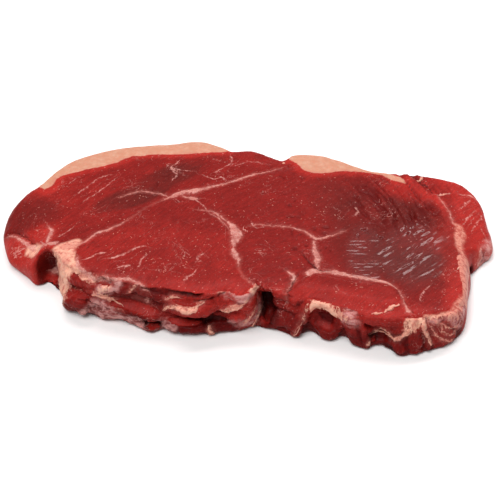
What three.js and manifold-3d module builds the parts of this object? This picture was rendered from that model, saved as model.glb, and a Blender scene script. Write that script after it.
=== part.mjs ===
// A whole raw rump steak: one slice cut across the rump, about 27 cm long and up to 29 mm thick.
// Millimetres. +Z is up, the steak lies on its lower cut face, +X runs along it, the fat cap is on its +Y edge
// and the ragged edge, where the slice was parted from its neighbours, is on -Y.
// The origin is the middle of the slice's outline, on the face that it lies on.
import * as THREE from "three";
import { mergeVertices } from "three/addons/utils/BufferGeometryUtils.js";
import Module from "manifold-3d";

// ---- Driving dimensions ----
const MEAT_EDGE = 2.4; // width of the rounding where lean meat reaches the edge
const FAT_EDGE = 4.5; // width of the softer rounding of the fat cap
const FOOT_EDGE = 2; // how far the lower edge curls in before it meets the board
const COLUMNS = 272; // upright columns round the rim, a multiple of 8
const BACK_SPACING = 1.7; // columns of the even edges stand this much wider than those of the ragged one
const RAGGED_EDGE = -14; // the ragged edge is the rim in front of this y
const WALL_ROWS = 11;
const SPINE = [new THREE.Vector2(-108, 6), new THREE.Vector2(90, -9)]; // middle line of the slice
const RIM_BLEND = 26; // how far in the upper face follows the height of its rim

// Thickness of the slice along its length, before the swells below: x and height.
const THICKNESS = [
  { x: -137, z: 13 },
  { x: -112, z: 22 },
  { x: -80, z: 24.5 },
  { x: 0, z: 25.5 },
  { x: 70, z: 22 },
  { x: 110, z: 19.5 },
  { x: 137, z: 13.5 },
];

// Swells and sinkings of the upper face, each an ellipse in plan.
const SWELLS = [
  { x: -48, y: -30, along: 60, across: 34, rise: 3.2 }, // front left muscle
  { x: -58, y: 42, along: 66, across: 24, rise: -1.2 }, // long muscle behind it, a little lower
  { x: 62, y: 4, along: 48, across: 34, rise: -1.2 }, // large right muscle, sunk in its middle
  { x: 52, y: -56, along: 40, across: 14, rise: 1.2 }, // strip of muscle along the front right
  { x: 116, y: 16, along: 16, across: 28, rise: 1 }, // right lobe
  { x: -122, y: 2, along: 14, across: 22, rise: 1 }, // left end
];

// The rim of the upper cut face, from the left tip over the fat cap to the right and back along the ragged edge:
// x and y in plan, z the height of the edge, edge the width of its rounding, and flare how far the foot
// stands outside it.
const RIM = [
  { x: -136, y: 12, z: 12, edge: 5, flare: -2 }, // left tip, which sags to the board
  { x: -133, y: 22, z: 17, edge: 4, flare: -1 },
  { x: -124, y: 33, z: 21, edge: 3, flare: 0 },
  { x: -117, y: 39, z: 22, edge: 3, flare: 0 }, // dip where the fat cap begins
  { x: -112.5, y: 50, z: 22, edge: FAT_EDGE, flare: 0 },
  { x: -102, y: 64, z: 22, edge: FAT_EDGE, flare: 1 },
  { x: -85, y: 74.5, z: 22, edge: FAT_EDGE, flare: 1 },
  { x: -63, y: 79.5, z: 22.5, edge: FAT_EDGE, flare: 1 },
  { x: -44, y: 81.5, z: 22.5, edge: FAT_EDGE, flare: 1 },
  { x: -27, y: 84.5, z: 22.5, edge: FAT_EDGE, flare: 1 }, // thick end of the fat cap
  { x: -16.5, y: 79.5, z: 22.5, edge: 4, flare: 2 },
  { x: -8, y: 72, z: 23, edge: MEAT_EDGE, flare: 2 }, // lean meat reaches the edge
  { x: 5, y: 73, z: 23, edge: MEAT_EDGE, flare: 1 },
  { x: 16, y: 67.5, z: 22, edge: MEAT_EDGE, flare: 0 },
  { x: 22.5, y: 64.5, z: 21.5, edge: MEAT_EDGE, flare: 0 }, // cleft between the two muscles of this edge
  { x: 26, y: 69.5, z: 21.5, edge: 3.5, flare: 0 },
  { x: 33, y: 72, z: 21.5, edge: FAT_EDGE, flare: 0 },
  { x: 44.5, y: 71.5, z: 21, edge: FAT_EDGE, flare: 1 }, // second stretch of fat cap
  { x: 58, y: 65, z: 21, edge: FAT_EDGE, flare: 1 },
  { x: 76, y: 55, z: 20, edge: 3.5, flare: 1 },
  { x: 98, y: 52.5, z: 20, edge: MEAT_EDGE, flare: 1 },
  { x: 112, y: 50, z: 19, edge: MEAT_EDGE, flare: 1 },
  { x: 125, y: 46, z: 17, edge: MEAT_EDGE, flare: 1 },
  { x: 134.5, y: 32, z: 15, edge: 3, flare: 1 }, // right lobe, which thins to its end
  { x: 137, y: 13, z: 12, edge: 4, flare: 1 },
  { x: 137, y: -4, z: 10, edge: 4, flare: -1 },
  { x: 124.5, y: -13.5, z: 13.5, edge: 3, flare: -0.5 }, // nick between the lobe and the fat rim
  { x: 120, y: -28, z: 16.5, edge: 4, flare: 2 },
  { x: 117.5, y: -46, z: 17.5, edge: 4, flare: 0.5 },
  { x: 113.5, y: -61, z: 18, edge: 4, flare: 1.5 }, // front right corner
  { x: 101, y: -73.5, z: 20, edge: 3, flare: 1 },
  { x: 84, y: -77, z: 22, edge: 3, flare: 3 },
  { x: 66, y: -76, z: 23, edge: MEAT_EDGE, flare: 0.5 },
  { x: 52, y: -71, z: 23.5, edge: MEAT_EDGE, flare: 0 },
  { x: 38, y: -65, z: 24, edge: MEAT_EDGE, flare: 3 },
  { x: 22, y: -63, z: 25, edge: MEAT_EDGE, flare: 2.5 },
  { x: 8, y: -60, z: 26.5, edge: MEAT_EDGE, flare: 1.5 },
  { x: -8, y: -62.5, z: 27, edge: MEAT_EDGE, flare: 2.5 },
  { x: -26, y: -65.5, z: 28, edge: MEAT_EDGE, flare: 0 },
  { x: -44, y: -63, z: 28, edge: MEAT_EDGE, flare: 1 },
  { x: -60, y: -56, z: 28, edge: MEAT_EDGE, flare: 3.5 },
  { x: -78, y: -51, z: 28, edge: MEAT_EDGE, flare: 3.5 },
  { x: -90, y: -44.5, z: 26.5, edge: 3, flare: 2.5 },
  { x: -98, y: -36, z: 25, edge: 4, flare: 1 }, // pillar of fat beside the hollow
  { x: -101.5, y: -29, z: 25, edge: 3, flare: 2 },
  { x: -106, y: -25, z: 24.5, edge: MEAT_EDGE, flare: 2.5 }, // hollow in the left of the ragged edge
  { x: -111.5, y: -24.5, z: 21, edge: MEAT_EDGE, flare: 2 },
  { x: -116, y: -25, z: 14, edge: 3, flare: 0 },
  { x: -124.5, y: -19, z: 9, edge: 4, flare: -1.5 }, // small muscle end that droops at the left
  { x: -132, y: -6.5, z: 10, edge: 5, flare: -2 },
];

// Folds of the ragged edge. x, z is the middle of a fold, wide and tall its half width and half height,
// lean how much its middle rises per millimetre along x, and push how far it stands out.
const FOLDS = [
  { x: -122, wide: 8, z: 3, tall: 5, lean: 0, push: -2.5 }, // undercut of the drooping end
  { x: -108, wide: 4.5, z: 12, tall: 13, lean: 0, push: -3.5 }, // the hollow
  { x: -94, wide: 7, z: 5, tall: 6, lean: 0.1, push: 4 }, // torn lump at the foot of the fat pillar
  { x: -87, wide: 5, z: 13, tall: 5, lean: 0, push: -3 },
  { x: -76, wide: 10, z: 25.5, tall: 2, lean: 0, push: -3 }, // gap under the upper lip
  { x: -68, wide: 14, z: 21.5, tall: 3, lean: -0.05, push: 2.4 }, // roll of meat below it
  { x: -38, wide: 13, z: 24, tall: 2.2, lean: -0.06, push: -4 }, // second gap
  { x: -52, wide: 24, z: 15.5, tall: 4.5, lean: -0.06, push: -5 }, // long hollow of the wall
  { x: -60, wide: 15, z: 10, tall: 3, lean: 0.05, push: 2.8 }, // ledge below the hollow
  { x: -70, wide: 20, z: 2, tall: 4.5, lean: 0, push: -3 }, // silverskin turned in under the ledge
  { x: -28, wide: 13, z: 17, tall: 4, lean: 0.03, push: 3.4 }, // second roll
  { x: -30, wide: 16, z: 10.5, tall: 3, lean: 0, push: -3.4 },
  { x: -34, wide: 12, z: 5.5, tall: 2.5, lean: 0, push: 1.8 },
  { x: -13, wide: 5, z: 13, tall: 8, lean: 0, push: -2 },
  { x: -1.5, wide: 5.5, z: 15, tall: 13, lean: 0, push: 3 }, // pillar left of the cleft
  { x: 9, wide: 4.6, z: 16, tall: 13, lean: 0, push: -15 }, // deep cleft
  { x: 20, wide: 5, z: 14, tall: 8, lean: 0, push: -2.4 },
  { x: 26, wide: 4, z: 9, tall: 9, lean: 0, push: 2.2 },
  { x: 40, wide: 12, z: 21.5, tall: 3.5, lean: 0, push: 1.6 }, // hump of fat
  { x: 40, wide: 10, z: 11.5, tall: 4.5, lean: 0, push: -4.6 }, // torn hollow below it
  { x: 57, wide: 5.5, z: 15, tall: 8, lean: 0, push: 2 },
  { x: 69, wide: 7, z: 10, tall: 6, lean: 0.1, push: -4 },
  { x: 71, wide: 9, z: 20.5, tall: 2.5, lean: 0, push: 1.4 },
  { x: 85, wide: 6, z: 14, tall: 9, lean: 0, push: 1.6 }, // pillar of fat
  { x: 97, wide: 6, z: 9, tall: 6, lean: 0.2, push: -2 },
  { x: 106, wide: 5, z: 10, tall: 6, lean: 0.2, push: 1.2 },
];

// Scallops of the foot of the ragged edge, where tags of meat reach out or draw back on the board.
const SCALLOPS = [
  { x: -114, wide: 4, push: 1.5 },
  { x: -92, wide: 5, push: 1.5 },
  { x: -82, wide: 4, push: -1 },
  { x: -65, wide: 6, push: -2 },
  { x: -50, wide: 6, push: 3 },
  { x: -43, wide: 4, push: -1.5 },
  { x: -28, wide: 9, push: 1 },
  { x: 2, wide: 5, push: -3.5 },
  { x: 9.5, wide: 4, push: 3 },
  { x: 25, wide: 6, push: 1 },
  { x: 34, wide: 4, push: -3 },
  { x: 43.5, wide: 5, push: 2.5 },
  { x: 51, wide: 4, push: -2.5 },
  { x: 61, wide: 5, push: 3 },
  { x: 70, wide: 5, push: -3 },
  { x: 79.5, wide: 5, push: 2.5 },
];

// A small gap that stays open under the flap of fat at the cleft, and comes out on the fat side.
const GAP = { x: 25.9, y: 57.5, z: 21.5, width: 3.2, height: 1.9, length: 30, slope: 38 };

// ---- Shared curves and helpers ----
const smooth = (t) => t * t * (3 - 2 * t);
const bell = (t) => (Math.abs(t) < 1 ? (1 - t * t) ** 2 : 0);
const closedCurve = (points) => new THREE.CatmullRomCurve3(points, true, "centripetal");
const rimLine = closedCurve(RIM.map((p) => new THREE.Vector3(p.x, p.y, p.z)));
const rimShape = closedCurve(RIM.map((p) => new THREE.Vector3(p.flare, p.edge, 0)));
const isRagged = (y) => y < RAGGED_EDGE;

// The nearest point of the spine, and how far along it lies, from 0 to 1.
function onSpine(x, y) {
  const [from, to] = SPINE;
  const run = to.clone().sub(from);
  const along = new THREE.Vector2(x, y).sub(from).dot(run) / run.lengthSq();
  const share = THREE.MathUtils.clamp(along, 0, 1);
  return { share, point: from.clone().addScaledVector(run, share) };
}

function thicknessAt(x) {
  const last = THICKNESS.length - 1;
  const next = THICKNESS.findIndex((p) => p.x > x);
  if (next === 0) return THICKNESS[0].z;
  if (next < 0) return THICKNESS[last].z;
  const a = THICKNESS[next - 1];
  const b = THICKNESS[next];
  return THREE.MathUtils.lerp(a.z, b.z, smooth((x - a.x) / (b.x - a.x)));
}

function faceHeight(x, y) {
  const swell = (s) => s.rise * bell(Math.hypot((x - s.x) / s.along, (y - s.y) / s.across) / 1.4);
  return SWELLS.reduce((sum, s) => sum + swell(s), thicknessAt(x));
}

function foldAt(x, y, z) {
  if (!isRagged(y)) return 0;
  const push = (f) =>
    f.push * bell((x - f.x) / (1.5 * f.wide)) * bell((z - f.z - f.lean * (x - f.x)) / (1.5 * f.tall));
  return FOLDS.reduce((sum, f) => sum + push(f), 0);
}

function scallopAt(x, y) {
  if (!isRagged(y)) return 0;
  return SCALLOPS.reduce((sum, s) => sum + s.push * bell((x - s.x) / (1.4 * s.wide)), 0);
}

// One upright column of the wall: its place on the rim and the way out from the spine there.
function columnAt(share) {
  const rim = rimLine.getPoint(share);
  const shape = rimShape.getPoint(share);
  const spine = onSpine(rim.x, rim.y);
  const out = new THREE.Vector2(rim.x, rim.y).sub(spine.point);
  const reach = out.length();
  return { rim, flare: shape.x, edge: shape.y, spine, reach, out: out.normalize() };
}

// Columns stand at equal steps along each edge, closer along the ragged one.
function spacedColumns(count) {
  const samples = 6000;
  const lengths = [0];
  let last = rimLine.getPoint(0);
  for (let i = 1; i <= samples; i++) {
    const point = rimLine.getPoint((i / samples) % 1);
    const step = Math.hypot(point.x - last.x, point.y - last.y);
    lengths.push(lengths[i - 1] + (isRagged(point.y) ? step : step / BACK_SPACING));
    last = point;
  }
  const columns = [];
  for (let i = 0, k = 0; i < count; i++) {
    const wanted = (i / count) * lengths[samples];
    while (lengths[k + 1] < wanted) k++;
    const within = (wanted - lengths[k]) / (lengths[k + 1] - lengths[k]);
    columns.push(columnAt((k + within) / samples));
  }
  return columns;
}

// A point of the wall, v from 0 at the upper edge to 1 at the foot.
function wallPoint(column, v) {
  const { rim, out, flare, edge } = column;
  const z = (rim.z - edge * 0.6) * (1 - v);
  const belly = 1.2 * Math.sin(Math.PI * v);
  const foot = smooth(v) * (flare + scallopAt(rim.x, rim.y) * smooth(v));
  const push = belly + foot + foldAt(rim.x, rim.y, z);
  return new THREE.Vector3(rim.x + out.x * push, rim.y + out.y * push, z);
}

// A point of the upper face, inwards from the rim along the way to the spine.
function topPoint(column, inwards) {
  const { rim, edge, reach, spine } = column;
  const start = wallPoint(column, 0);
  const x = THREE.MathUtils.lerp(start.x, spine.point.x, inwards / reach);
  const y = THREE.MathUtils.lerp(start.y, spine.point.y, inwards / reach);
  const rounding = edge * 0.6 * Math.max(0, 1 - inwards / edge) ** 2;
  const held = (rim.z - faceHeight(rim.x, rim.y)) * bell(inwards / RIM_BLEND);
  return new THREE.Vector3(x, y, faceHeight(x, y) + held - rounding);
}

// ---- The body of the steak: rings of points, stitched into one closed skin ----
function steakSkin() {
  const columns = spacedColumns(COLUMNS);
  const points = [];
  const triangles = [];
  const addRing = (step, place) => {
    const ring = [];
    for (let i = 0; i < COLUMNS; i += step) ring.push(points.push(place(columns[i])) - 1);
    return ring;
  };

  // Joins a ring to the next one in, which has as many points or half as many.
  const stitch = (outer, inner) => {
    const ratio = outer.length / inner.length;
    inner.forEach((here, i) => {
      const next = inner[(i + 1) % inner.length];
      const [a, b, c] = [0, 1, ratio].map((k) => outer[(i * ratio + k) % outer.length]);
      if (ratio === 1) {
        triangles.push(a, here, next, a, next, c);
      } else {
        triangles.push(a, here, b, here, next, b, b, next, c);
      }
    });
  };

  // Joins the innermost ring to points along the spine, which both sides of the slice share.
  const stitchToSpine = (ring, step) => {
    const count = 20;
    const [from, to] = SPINE;
    const spine = Array.from({ length: count + 1 }, (_, k) => {
      const at = from.clone().lerp(to, k / count);
      return points.push(new THREE.Vector3(at.x, at.y, faceHeight(at.x, at.y))) - 1;
    });
    const nearest = ring.map((_, i) => Math.round(columns[i * step].spine.share * count));
    ring.forEach((here, i) => {
      const next = (i + 1) % ring.length;
      const way = Math.sign(nearest[next] - nearest[i]);
      for (let k = nearest[i]; k !== nearest[next]; k += way) {
        triangles.push(here, spine[k], spine[k + way]);
      }
      triangles.push(here, spine[nearest[next]], ring[next]);
    });
  };

  const rows = Array.from({ length: WALL_ROWS + 1 }, (_, k) =>
    addRing(1, (column) => wallPoint(column, (k / WALL_ROWS) * 0.94)),
  );
  for (let k = 0; k < WALL_ROWS; k++) stitch(rows[k + 1], rows[k]);

  // The foot curls in to the flat face that lies on the board.
  const foot = addRing(1, (column) => {
    const low = wallPoint(column, 1);
    return new THREE.Vector3(low.x - column.out.x * FOOT_EDGE, low.y - column.out.y * FOOT_EDGE, 0);
  });
  stitch(foot, rows[WALL_ROWS]);
  const outline = foot.map((i) => new THREE.Vector2(points[i].x, points[i].y));
  for (const [a, b, c] of THREE.ShapeUtils.triangulateShape(outline, [])) {
    triangles.push(foot[a], foot[c], foot[b]);
  }

  // The upper face: two rings round the edge, then rings by shares of the way to the spine.
  const within = (share) => (column) => THREE.MathUtils.lerp(column.edge, column.reach, share);
  let outer = rows[0];
  const bands = [
    [1, [(column) => column.edge * 0.3, (column) => column.edge * 0.9]],
    [2, [0.08, 0.16, 0.24, 0.34].map(within)],
    [4, [0.44, 0.56, 0.68, 0.8, 0.91].map(within)],
  ];
  for (const [step, insets] of bands) {
    for (const inset of insets) {
      const inner = addRing(step, (column) => topPoint(column, inset(column)));
      stitch(outer, inner);
      outer = inner;
    }
  }
  stitchToSpine(outer, bands.at(-1)[0]);

  return new THREE.BufferGeometry().setFromPoints(points).setIndex(triangles);
}

// The small gap at the cleft, as a flattened bar along its line.
function gapBar() {
  const slope = THREE.MathUtils.degToRad(GAP.slope);
  return new THREE.CylinderGeometry(GAP.width / 2, GAP.width / 2, GAP.length, 10)
    .scale(1, 1, GAP.height / GAP.width)
    .translate(0, GAP.length / 2 - 4, 0)
    .rotateX(-slope)
    .translate(GAP.x, GAP.y, GAP.z);
}

// Cuts one closed geometry from another, and gives flat-shaded triangles.
async function cut(body, tool) {
  const wasm = await Module();
  wasm.setup();
  const [kept, removed] = [body, tool].map((geometry) => {
    const bare = new THREE.BufferGeometry();
    bare.setAttribute("position", geometry.getAttribute("position"));
    bare.setIndex(geometry.index);
    const whole = mergeVertices(bare, 1e-4);
    return new wasm.Manifold(
      new wasm.Mesh({
        numProp: 3,
        vertProperties: whole.attributes.position.array,
        triVerts: new Uint32Array(whole.index.array),
      }),
    );
  });
  const mesh = kept.subtract(removed).getMesh();
  return new THREE.BufferGeometry()
    .setAttribute("position", new THREE.BufferAttribute(mesh.vertProperties, mesh.numProp))
    .setIndex(new THREE.BufferAttribute(mesh.triVerts, 1));
}

// Puts the middle of the outline over the origin.
function centred(geometry) {
  geometry.computeBoundingBox();
  const middle = geometry.boundingBox.getCenter(new THREE.Vector3());
  return geometry.translate(-middle.x, -middle.y, -geometry.boundingBox.min.z);
}

const group = new THREE.Group();
const flesh = new THREE.MeshStandardMaterial({ color: 0x9c2a26, roughness: 0.42, metalness: 0 });
const steak = new THREE.Mesh(centred(await cut(steakSkin(), gapBar())), flesh);
steak.name = "steak";
group.add(steak);

export default group;
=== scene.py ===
import math
from functools import partial

import bmesh
import bpy
import numpy as np
from mathutils import Matrix, Vector, bvhtree


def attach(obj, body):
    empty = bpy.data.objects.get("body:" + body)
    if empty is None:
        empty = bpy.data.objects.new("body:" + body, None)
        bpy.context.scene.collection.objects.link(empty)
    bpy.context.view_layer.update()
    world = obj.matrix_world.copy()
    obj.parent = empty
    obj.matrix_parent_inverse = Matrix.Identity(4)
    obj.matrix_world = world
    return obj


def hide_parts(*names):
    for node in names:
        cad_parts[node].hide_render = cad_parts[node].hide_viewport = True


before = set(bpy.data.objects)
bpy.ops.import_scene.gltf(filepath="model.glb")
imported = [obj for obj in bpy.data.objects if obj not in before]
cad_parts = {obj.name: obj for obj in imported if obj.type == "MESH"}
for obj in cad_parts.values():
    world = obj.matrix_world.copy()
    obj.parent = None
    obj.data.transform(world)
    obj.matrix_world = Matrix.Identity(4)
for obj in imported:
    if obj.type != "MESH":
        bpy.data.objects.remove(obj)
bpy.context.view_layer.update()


# ---- The table, the light and the view ----
# The steak lies on a plain pale table top under one big soft lamp, and is seen from its ragged side,
# looking down at it a little steeper than a person who sits at that table does.
VIEW_ELEVATION = math.radians(38)
VIEW_DISTANCE = 0.765
VIEW_AIM = Vector((0.0013, -0.0117, 0.012))
LENS = 100
ROOM_COLOUR = (1.0, 0.985, 0.97, 1)
ROOM_LIGHT = 0.30
SOFTBOX_COLOUR = (1.0, 0.88, 0.87)
TABLE_COLOUR = (0.88, 0.88, 0.88, 1)
TABLE_REACH = 8

view_back = Vector((0, -math.cos(VIEW_ELEVATION), math.sin(VIEW_ELEVATION)))
camera_data = bpy.data.cameras.new("camera")
camera_data.lens = LENS
camera_data.sensor_width = 36
camera_data.clip_start = 0.05
camera = bpy.data.objects.new("camera", camera_data)
camera.location = VIEW_AIM + view_back * VIEW_DISTANCE
camera.rotation_euler = (math.pi / 2 - VIEW_ELEVATION, 0, 0)
bpy.context.scene.collection.objects.link(camera)
bpy.context.scene.camera = camera
bpy.context.scene.view_settings.view_transform = "Standard"

world = bpy.data.worlds.new("room")
world.use_nodes = True
world.node_tree.nodes["Background"].inputs["Color"].default_value = ROOM_COLOUR
world.node_tree.nodes["Background"].inputs["Strength"].default_value = ROOM_LIGHT
bpy.context.scene.world = world


def add_lamp(name, kind, energy, place, aim, **settings):
    """A lamp at a place, turned towards its aim."""
    data = bpy.data.lights.new(name, kind)
    data.energy = energy
    for key, value in settings.items():
        setattr(data, key, value)
    lamp = bpy.data.objects.new(name, data)
    lamp.location = place
    lamp.rotation_euler = (Vector(aim) - Vector(place)).to_track_quat("-Z", "Y").to_euler()
    bpy.context.scene.collection.objects.link(lamp)
    return lamp


add_lamp("overhead_lamp", "SUN", 2.35, (-0.28, -0.39, 1.0), (0, 0, 0), angle=math.radians(40))
add_lamp(
    "rear_softbox", "AREA", 9.0, (0.26, 0.46, 0.86), (0.41, 0, 0.02),
    shape="RECTANGLE", size=1.4, size_y=0.22, color=SOFTBOX_COLOUR,
)

table_mesh = bpy.data.meshes.new("table_top")
table_corners = [(a * TABLE_REACH, b * TABLE_REACH, 0) for a, b in ((-1, -1), (1, -1), (1, 1), (-1, 1))]
table_mesh.from_pydata(table_corners, [], [(0, 1, 2, 3)])
table_top = bpy.data.objects.new("table_top", table_mesh)
bpy.context.scene.collection.objects.link(table_top)
table_paint = bpy.data.materials.new("table_paint")
table_paint.use_nodes = True
table_shader = table_paint.node_tree.nodes["Principled BSDF"]
table_shader.inputs["Base Color"].default_value = TABLE_COLOUR
table_shader.inputs["Roughness"].default_value = 0.9
table_mesh.materials.append(table_paint)


# ---- The slice of meat: its skin of fine mesh ----
# One thick slice across the rump, of four muscles that lie side by side with fat between them. The knife
# left both cut faces nearly flat. Here the CAD solid is rounded off and given a mesh fine enough for relief.
MM = 0.001
VOXEL = 1.13 * MM
SAME_PLACE = 0.005 * MM
FLAT_UNDERSIDE = 0.25  # below this height in millimetres the slice lies on the table
WET_MUSCLE = (80, -10, 32, 44)  # centre and radii in plan, in millimetres


def keep_only(obj, mesh):
    """Gives an object a new mesh and clears its modifiers."""
    old = obj.data
    obj.modifiers.clear()
    obj.data = mesh
    bpy.data.meshes.remove(old)


def evaluated_mesh(obj):
    """The object's mesh with its modifiers applied."""
    depsgraph = bpy.context.evaluated_depsgraph_get()
    return bpy.data.meshes.new_from_object(obj.evaluated_get(depsgraph))


flesh = bpy.data.objects.new("flesh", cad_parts["steak"].data.copy())
bpy.context.scene.collection.objects.link(flesh)
work = bmesh.new()
work.from_mesh(flesh.data)
bmesh.ops.remove_doubles(work, verts=work.verts, dist=SAME_PLACE)
underside = [f for f in work.faces if max(v.co.z for v in f.verts) < 2 * SAME_PLACE]
bmesh.ops.delete(work, geom=underside, context="FACES_ONLY")
bmesh.ops.join_triangles(
    work, faces=work.faces, angle_face_threshold=math.radians(40), angle_shape_threshold=math.radians(50)
)
work.to_mesh(flesh.data)
work.free()
rounding = flesh.modifiers.new("rounding", "SUBSURF")
rounding.levels = rounding.render_levels = 2
keep_only(flesh, evaluated_mesh(flesh))

work = bmesh.new()
work.from_mesh(flesh.data)
open_edges = [e for e in work.edges if e.is_boundary]
bmesh.ops.holes_fill(work, edges=open_edges, sides=0)
bmesh.ops.triangulate(work, faces=[f for f in work.faces if len(f.verts) > 4])
bmesh.ops.recalc_face_normals(work, faces=work.faces)
work.to_mesh(flesh.data)
work.free()

# Lumps that stand out from the torn edge, and hollows under it: centre and radii, in millimetres.
LUMPS = [
    ((-92.0, -49.5, 9.6), (4.4, 4, 3.4)),
    ((-87.0, -52, 11), (5.5, 4, 3.6)),
    ((-87.5, -51.5, 5.5), (3.2, 4, 3.2)),
    ((9.5, -54.5, 23.6), (6.5, 6, 3.2)),
    ((19, -62, 23.6), (4.6, 3.4, 2.4)),
    ((26, -65.5, 21.5), (3.6, 3.2, 2.6)),
    ((-4, -65, 24.5), (4, 2.6, 2.4)),
]
HOLLOWS = {
    "left arch": ((-107.4, -26.5, 10.6), (6.8, 9.5, 10.4)),
    "pocket side": ((-106.5, -44, 1), (10, 13, 8.5)),
    "pocket foot": ((-98.5, -55, -1), (7.5, 9, 6.2)),
    "below the pocket": ((-103.0, -48.5, 7.5), (6.8, 13, 8.8)),
    "notch": ((11.6, -56, 10.8), (5.3, 8.5, 9.8)),
    "under the lip": ((-35.0, -70, 25.4), (11, 5.0, 1.3)),
    "left hole": ((-49.5, -69, 5), (5.0, 7, 2.8)),
    "left foot": ((-84, -56, 0), (5, 6, 3)),
    "under the rolls": ((-29, -69, 9.4), (13, 6, 1.3)),
    "beside the first foot": ((31, -70, 2), (2.0, 3, 2.4)),
    "between the feet": ((48.5, -75, 2), (1.6, 3, 2.6)),
    "under the strip": ((65, -79, 6), (2.4, 5, 2.6)),
    "under the wave": ((72, -82, 2), (4.5, 4, 2.6)),
    "under the flap": ((122, -21, 3), (3, 7, 4)),
}


def joined_balls(name, balls):
    """One object made of a ball, stretched to its radii, at each place."""
    shape = bmesh.new()
    for centre, radii in balls:
        placing = Matrix.Translation(Vector(centre) * MM) @ Matrix.Diagonal((*(r * MM for r in radii), 1))
        bmesh.ops.create_icosphere(shape, subdivisions=3, radius=1, matrix=placing)
    mesh = bpy.data.meshes.new(name)
    shape.to_mesh(mesh)
    shape.free()
    obj = bpy.data.objects.new(name, mesh)
    bpy.context.scene.collection.objects.link(obj)
    return obj


tools = [joined_balls("lumps", LUMPS)]
tools += [joined_balls(name, [ball]) for name, ball in HOLLOWS.items()]  # one by one, because some overlap
for tool in tools:
    shaping = flesh.modifiers.new(tool.name, "BOOLEAN")
    shaping.operation = "UNION" if tool.name == "lumps" else "DIFFERENCE"
    shaping.solver = "MANIFOLD"
    shaping.object = tool
fine = flesh.modifiers.new("fine", "REMESH")
fine.mode = "VOXEL"
fine.voxel_size = VOXEL
keep_only(flesh, evaluated_mesh(flesh))
for tool in tools:
    tool_mesh = tool.data
    bpy.data.objects.remove(tool)
    bpy.data.meshes.remove(tool_mesh)

# The underside is flat, so its squares can be twice as large.
work = bmesh.new()
work.from_mesh(flesh.data)
low = [v for v in work.verts if v.co.z < FLAT_UNDERSIDE * MM]
flat = {v for v in low if all(len(f.verts) == 4 for f in v.link_faces)}
inner = [v for v in low if v in flat and all(e.other_vert(v) in flat for e in v.link_edges)]
bmesh.ops.unsubdivide(work, verts=inner, iterations=2)
work.to_mesh(flesh.data)
work.free()

# The torn edge and the wrinkled right muscle get squares of half the size.
work = bmesh.new()
work.from_mesh(flesh.data)
muscle_x, muscle_y, half_long, half_wide = WET_MUSCLE
detailed = []
for face in work.faces:
    middle = face.calc_center_median() / MM
    on_torn_edge = face.normal.z < 0.8 and middle.y < -40 and middle.z > 0.8 and abs(middle.x) < 112
    from_muscle = math.hypot((middle.x - muscle_x) / half_long, (middle.y - muscle_y) / half_wide)
    on_wet_muscle = face.normal.z > 0.8 and from_muscle < 1
    if on_torn_edge or on_wet_muscle:
        detailed.append(face)
detailed_edges = list({edge for face in detailed for edge in face.edges})
bmesh.ops.subdivide_edges(work, edges=detailed_edges, cuts=1, use_grid_fill=True)
bmesh.ops.triangulate(work, faces=[f for f in work.faces if len(f.verts) > 4])
work.to_mesh(flesh.data)
work.free()


def read_places(mesh):
    """Vertex places in millimetres, and vertex normals, as two arrays."""
    places = np.empty(len(mesh.vertices) * 3)
    mesh.vertices.foreach_get("co", places)
    normals = np.empty(len(mesh.vertices) * 3)
    mesh.vertex_normals.foreach_get("vector", normals)
    return places.reshape(-1, 3) / MM, normals.reshape(-1, 3)


def write_places(mesh, places):
    mesh.vertices.foreach_set("co", (places * MM).ravel())
    mesh.update()


places, normals = read_places(flesh.data)
places[places[:, 2] < FLAT_UNDERSIDE, 2] = 0
write_places(flesh.data, places)


# ---- The slice of meat: seams, fat and relief ----
# Seams of fat and silverskin part the muscles, fat caps the far edge, and the near edge is torn into folds.
# Each is drawn once, in millimetres in plan or, on the ragged edge, along the slice and up. The lines
# then shape the surface, and are kept on it as distances that the colours below read.
def smooth_line(points, step=1.0):
    """A smooth line through points, as short steps."""
    knots = np.array(points, float)
    ends = np.vstack([2 * knots[0] - knots[1], knots, 2 * knots[-1] - knots[-2]])
    parts = []
    for a, b, c, d in zip(ends, ends[1:], ends[2:], ends[3:]):
        t = np.linspace(0, 1, max(2, int(np.linalg.norm(c - b) / step)), endpoint=False)[:, None]
        parts.append(b + 0.5 * t * (c - a + t * (2 * a - 5 * b + 4 * c - d + t * (3 * (b - c) + d - a))))
    return np.vstack([*parts, knots[-1:]])


def measure_line(spots, line):
    """Distance of each spot from a line, signed by its side, and the share of the line passed there."""
    near = np.full(len(spots), 1e9)
    side = np.ones(len(spots))
    share = np.zeros(len(spots))
    for k, (start, end) in enumerate(zip(line, line[1:])):
        run = end - start
        from_start = spots - start
        along = np.clip(from_start @ run / (run @ run), 0, 1)
        off = from_start - along[:, None] * run
        distance = np.hypot(off[:, 0], off[:, 1])
        closer = distance < near
        near[closer] = distance[closer]
        side[closer] = np.sign(run[0] * off[closer, 1] - run[1] * off[closer, 0])
        share[closer] = (k + along[closer]) / (len(line) - 1)
    return near * np.where(side == 0, 1, side), share


def measure_area(spots, corners):
    """Distance of each spot into an area, below zero outside it."""
    line = np.vstack([smooth_line(corners), corners[:1]])
    distance = np.abs(measure_line(spots, line)[0])
    inside = np.zeros(len(spots), bool)
    for (ax, ay), (bx, by) in zip(line, np.roll(line, -1, axis=0)):
        if ay != by:
            crosses = (ay > spots[:, 1]) != (by > spots[:, 1])
            inside ^= crosses & (spots[:, 0] < ax + (spots[:, 1] - ay) * (bx - ax) / (by - ay))
    return np.where(inside, distance, -distance)


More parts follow.
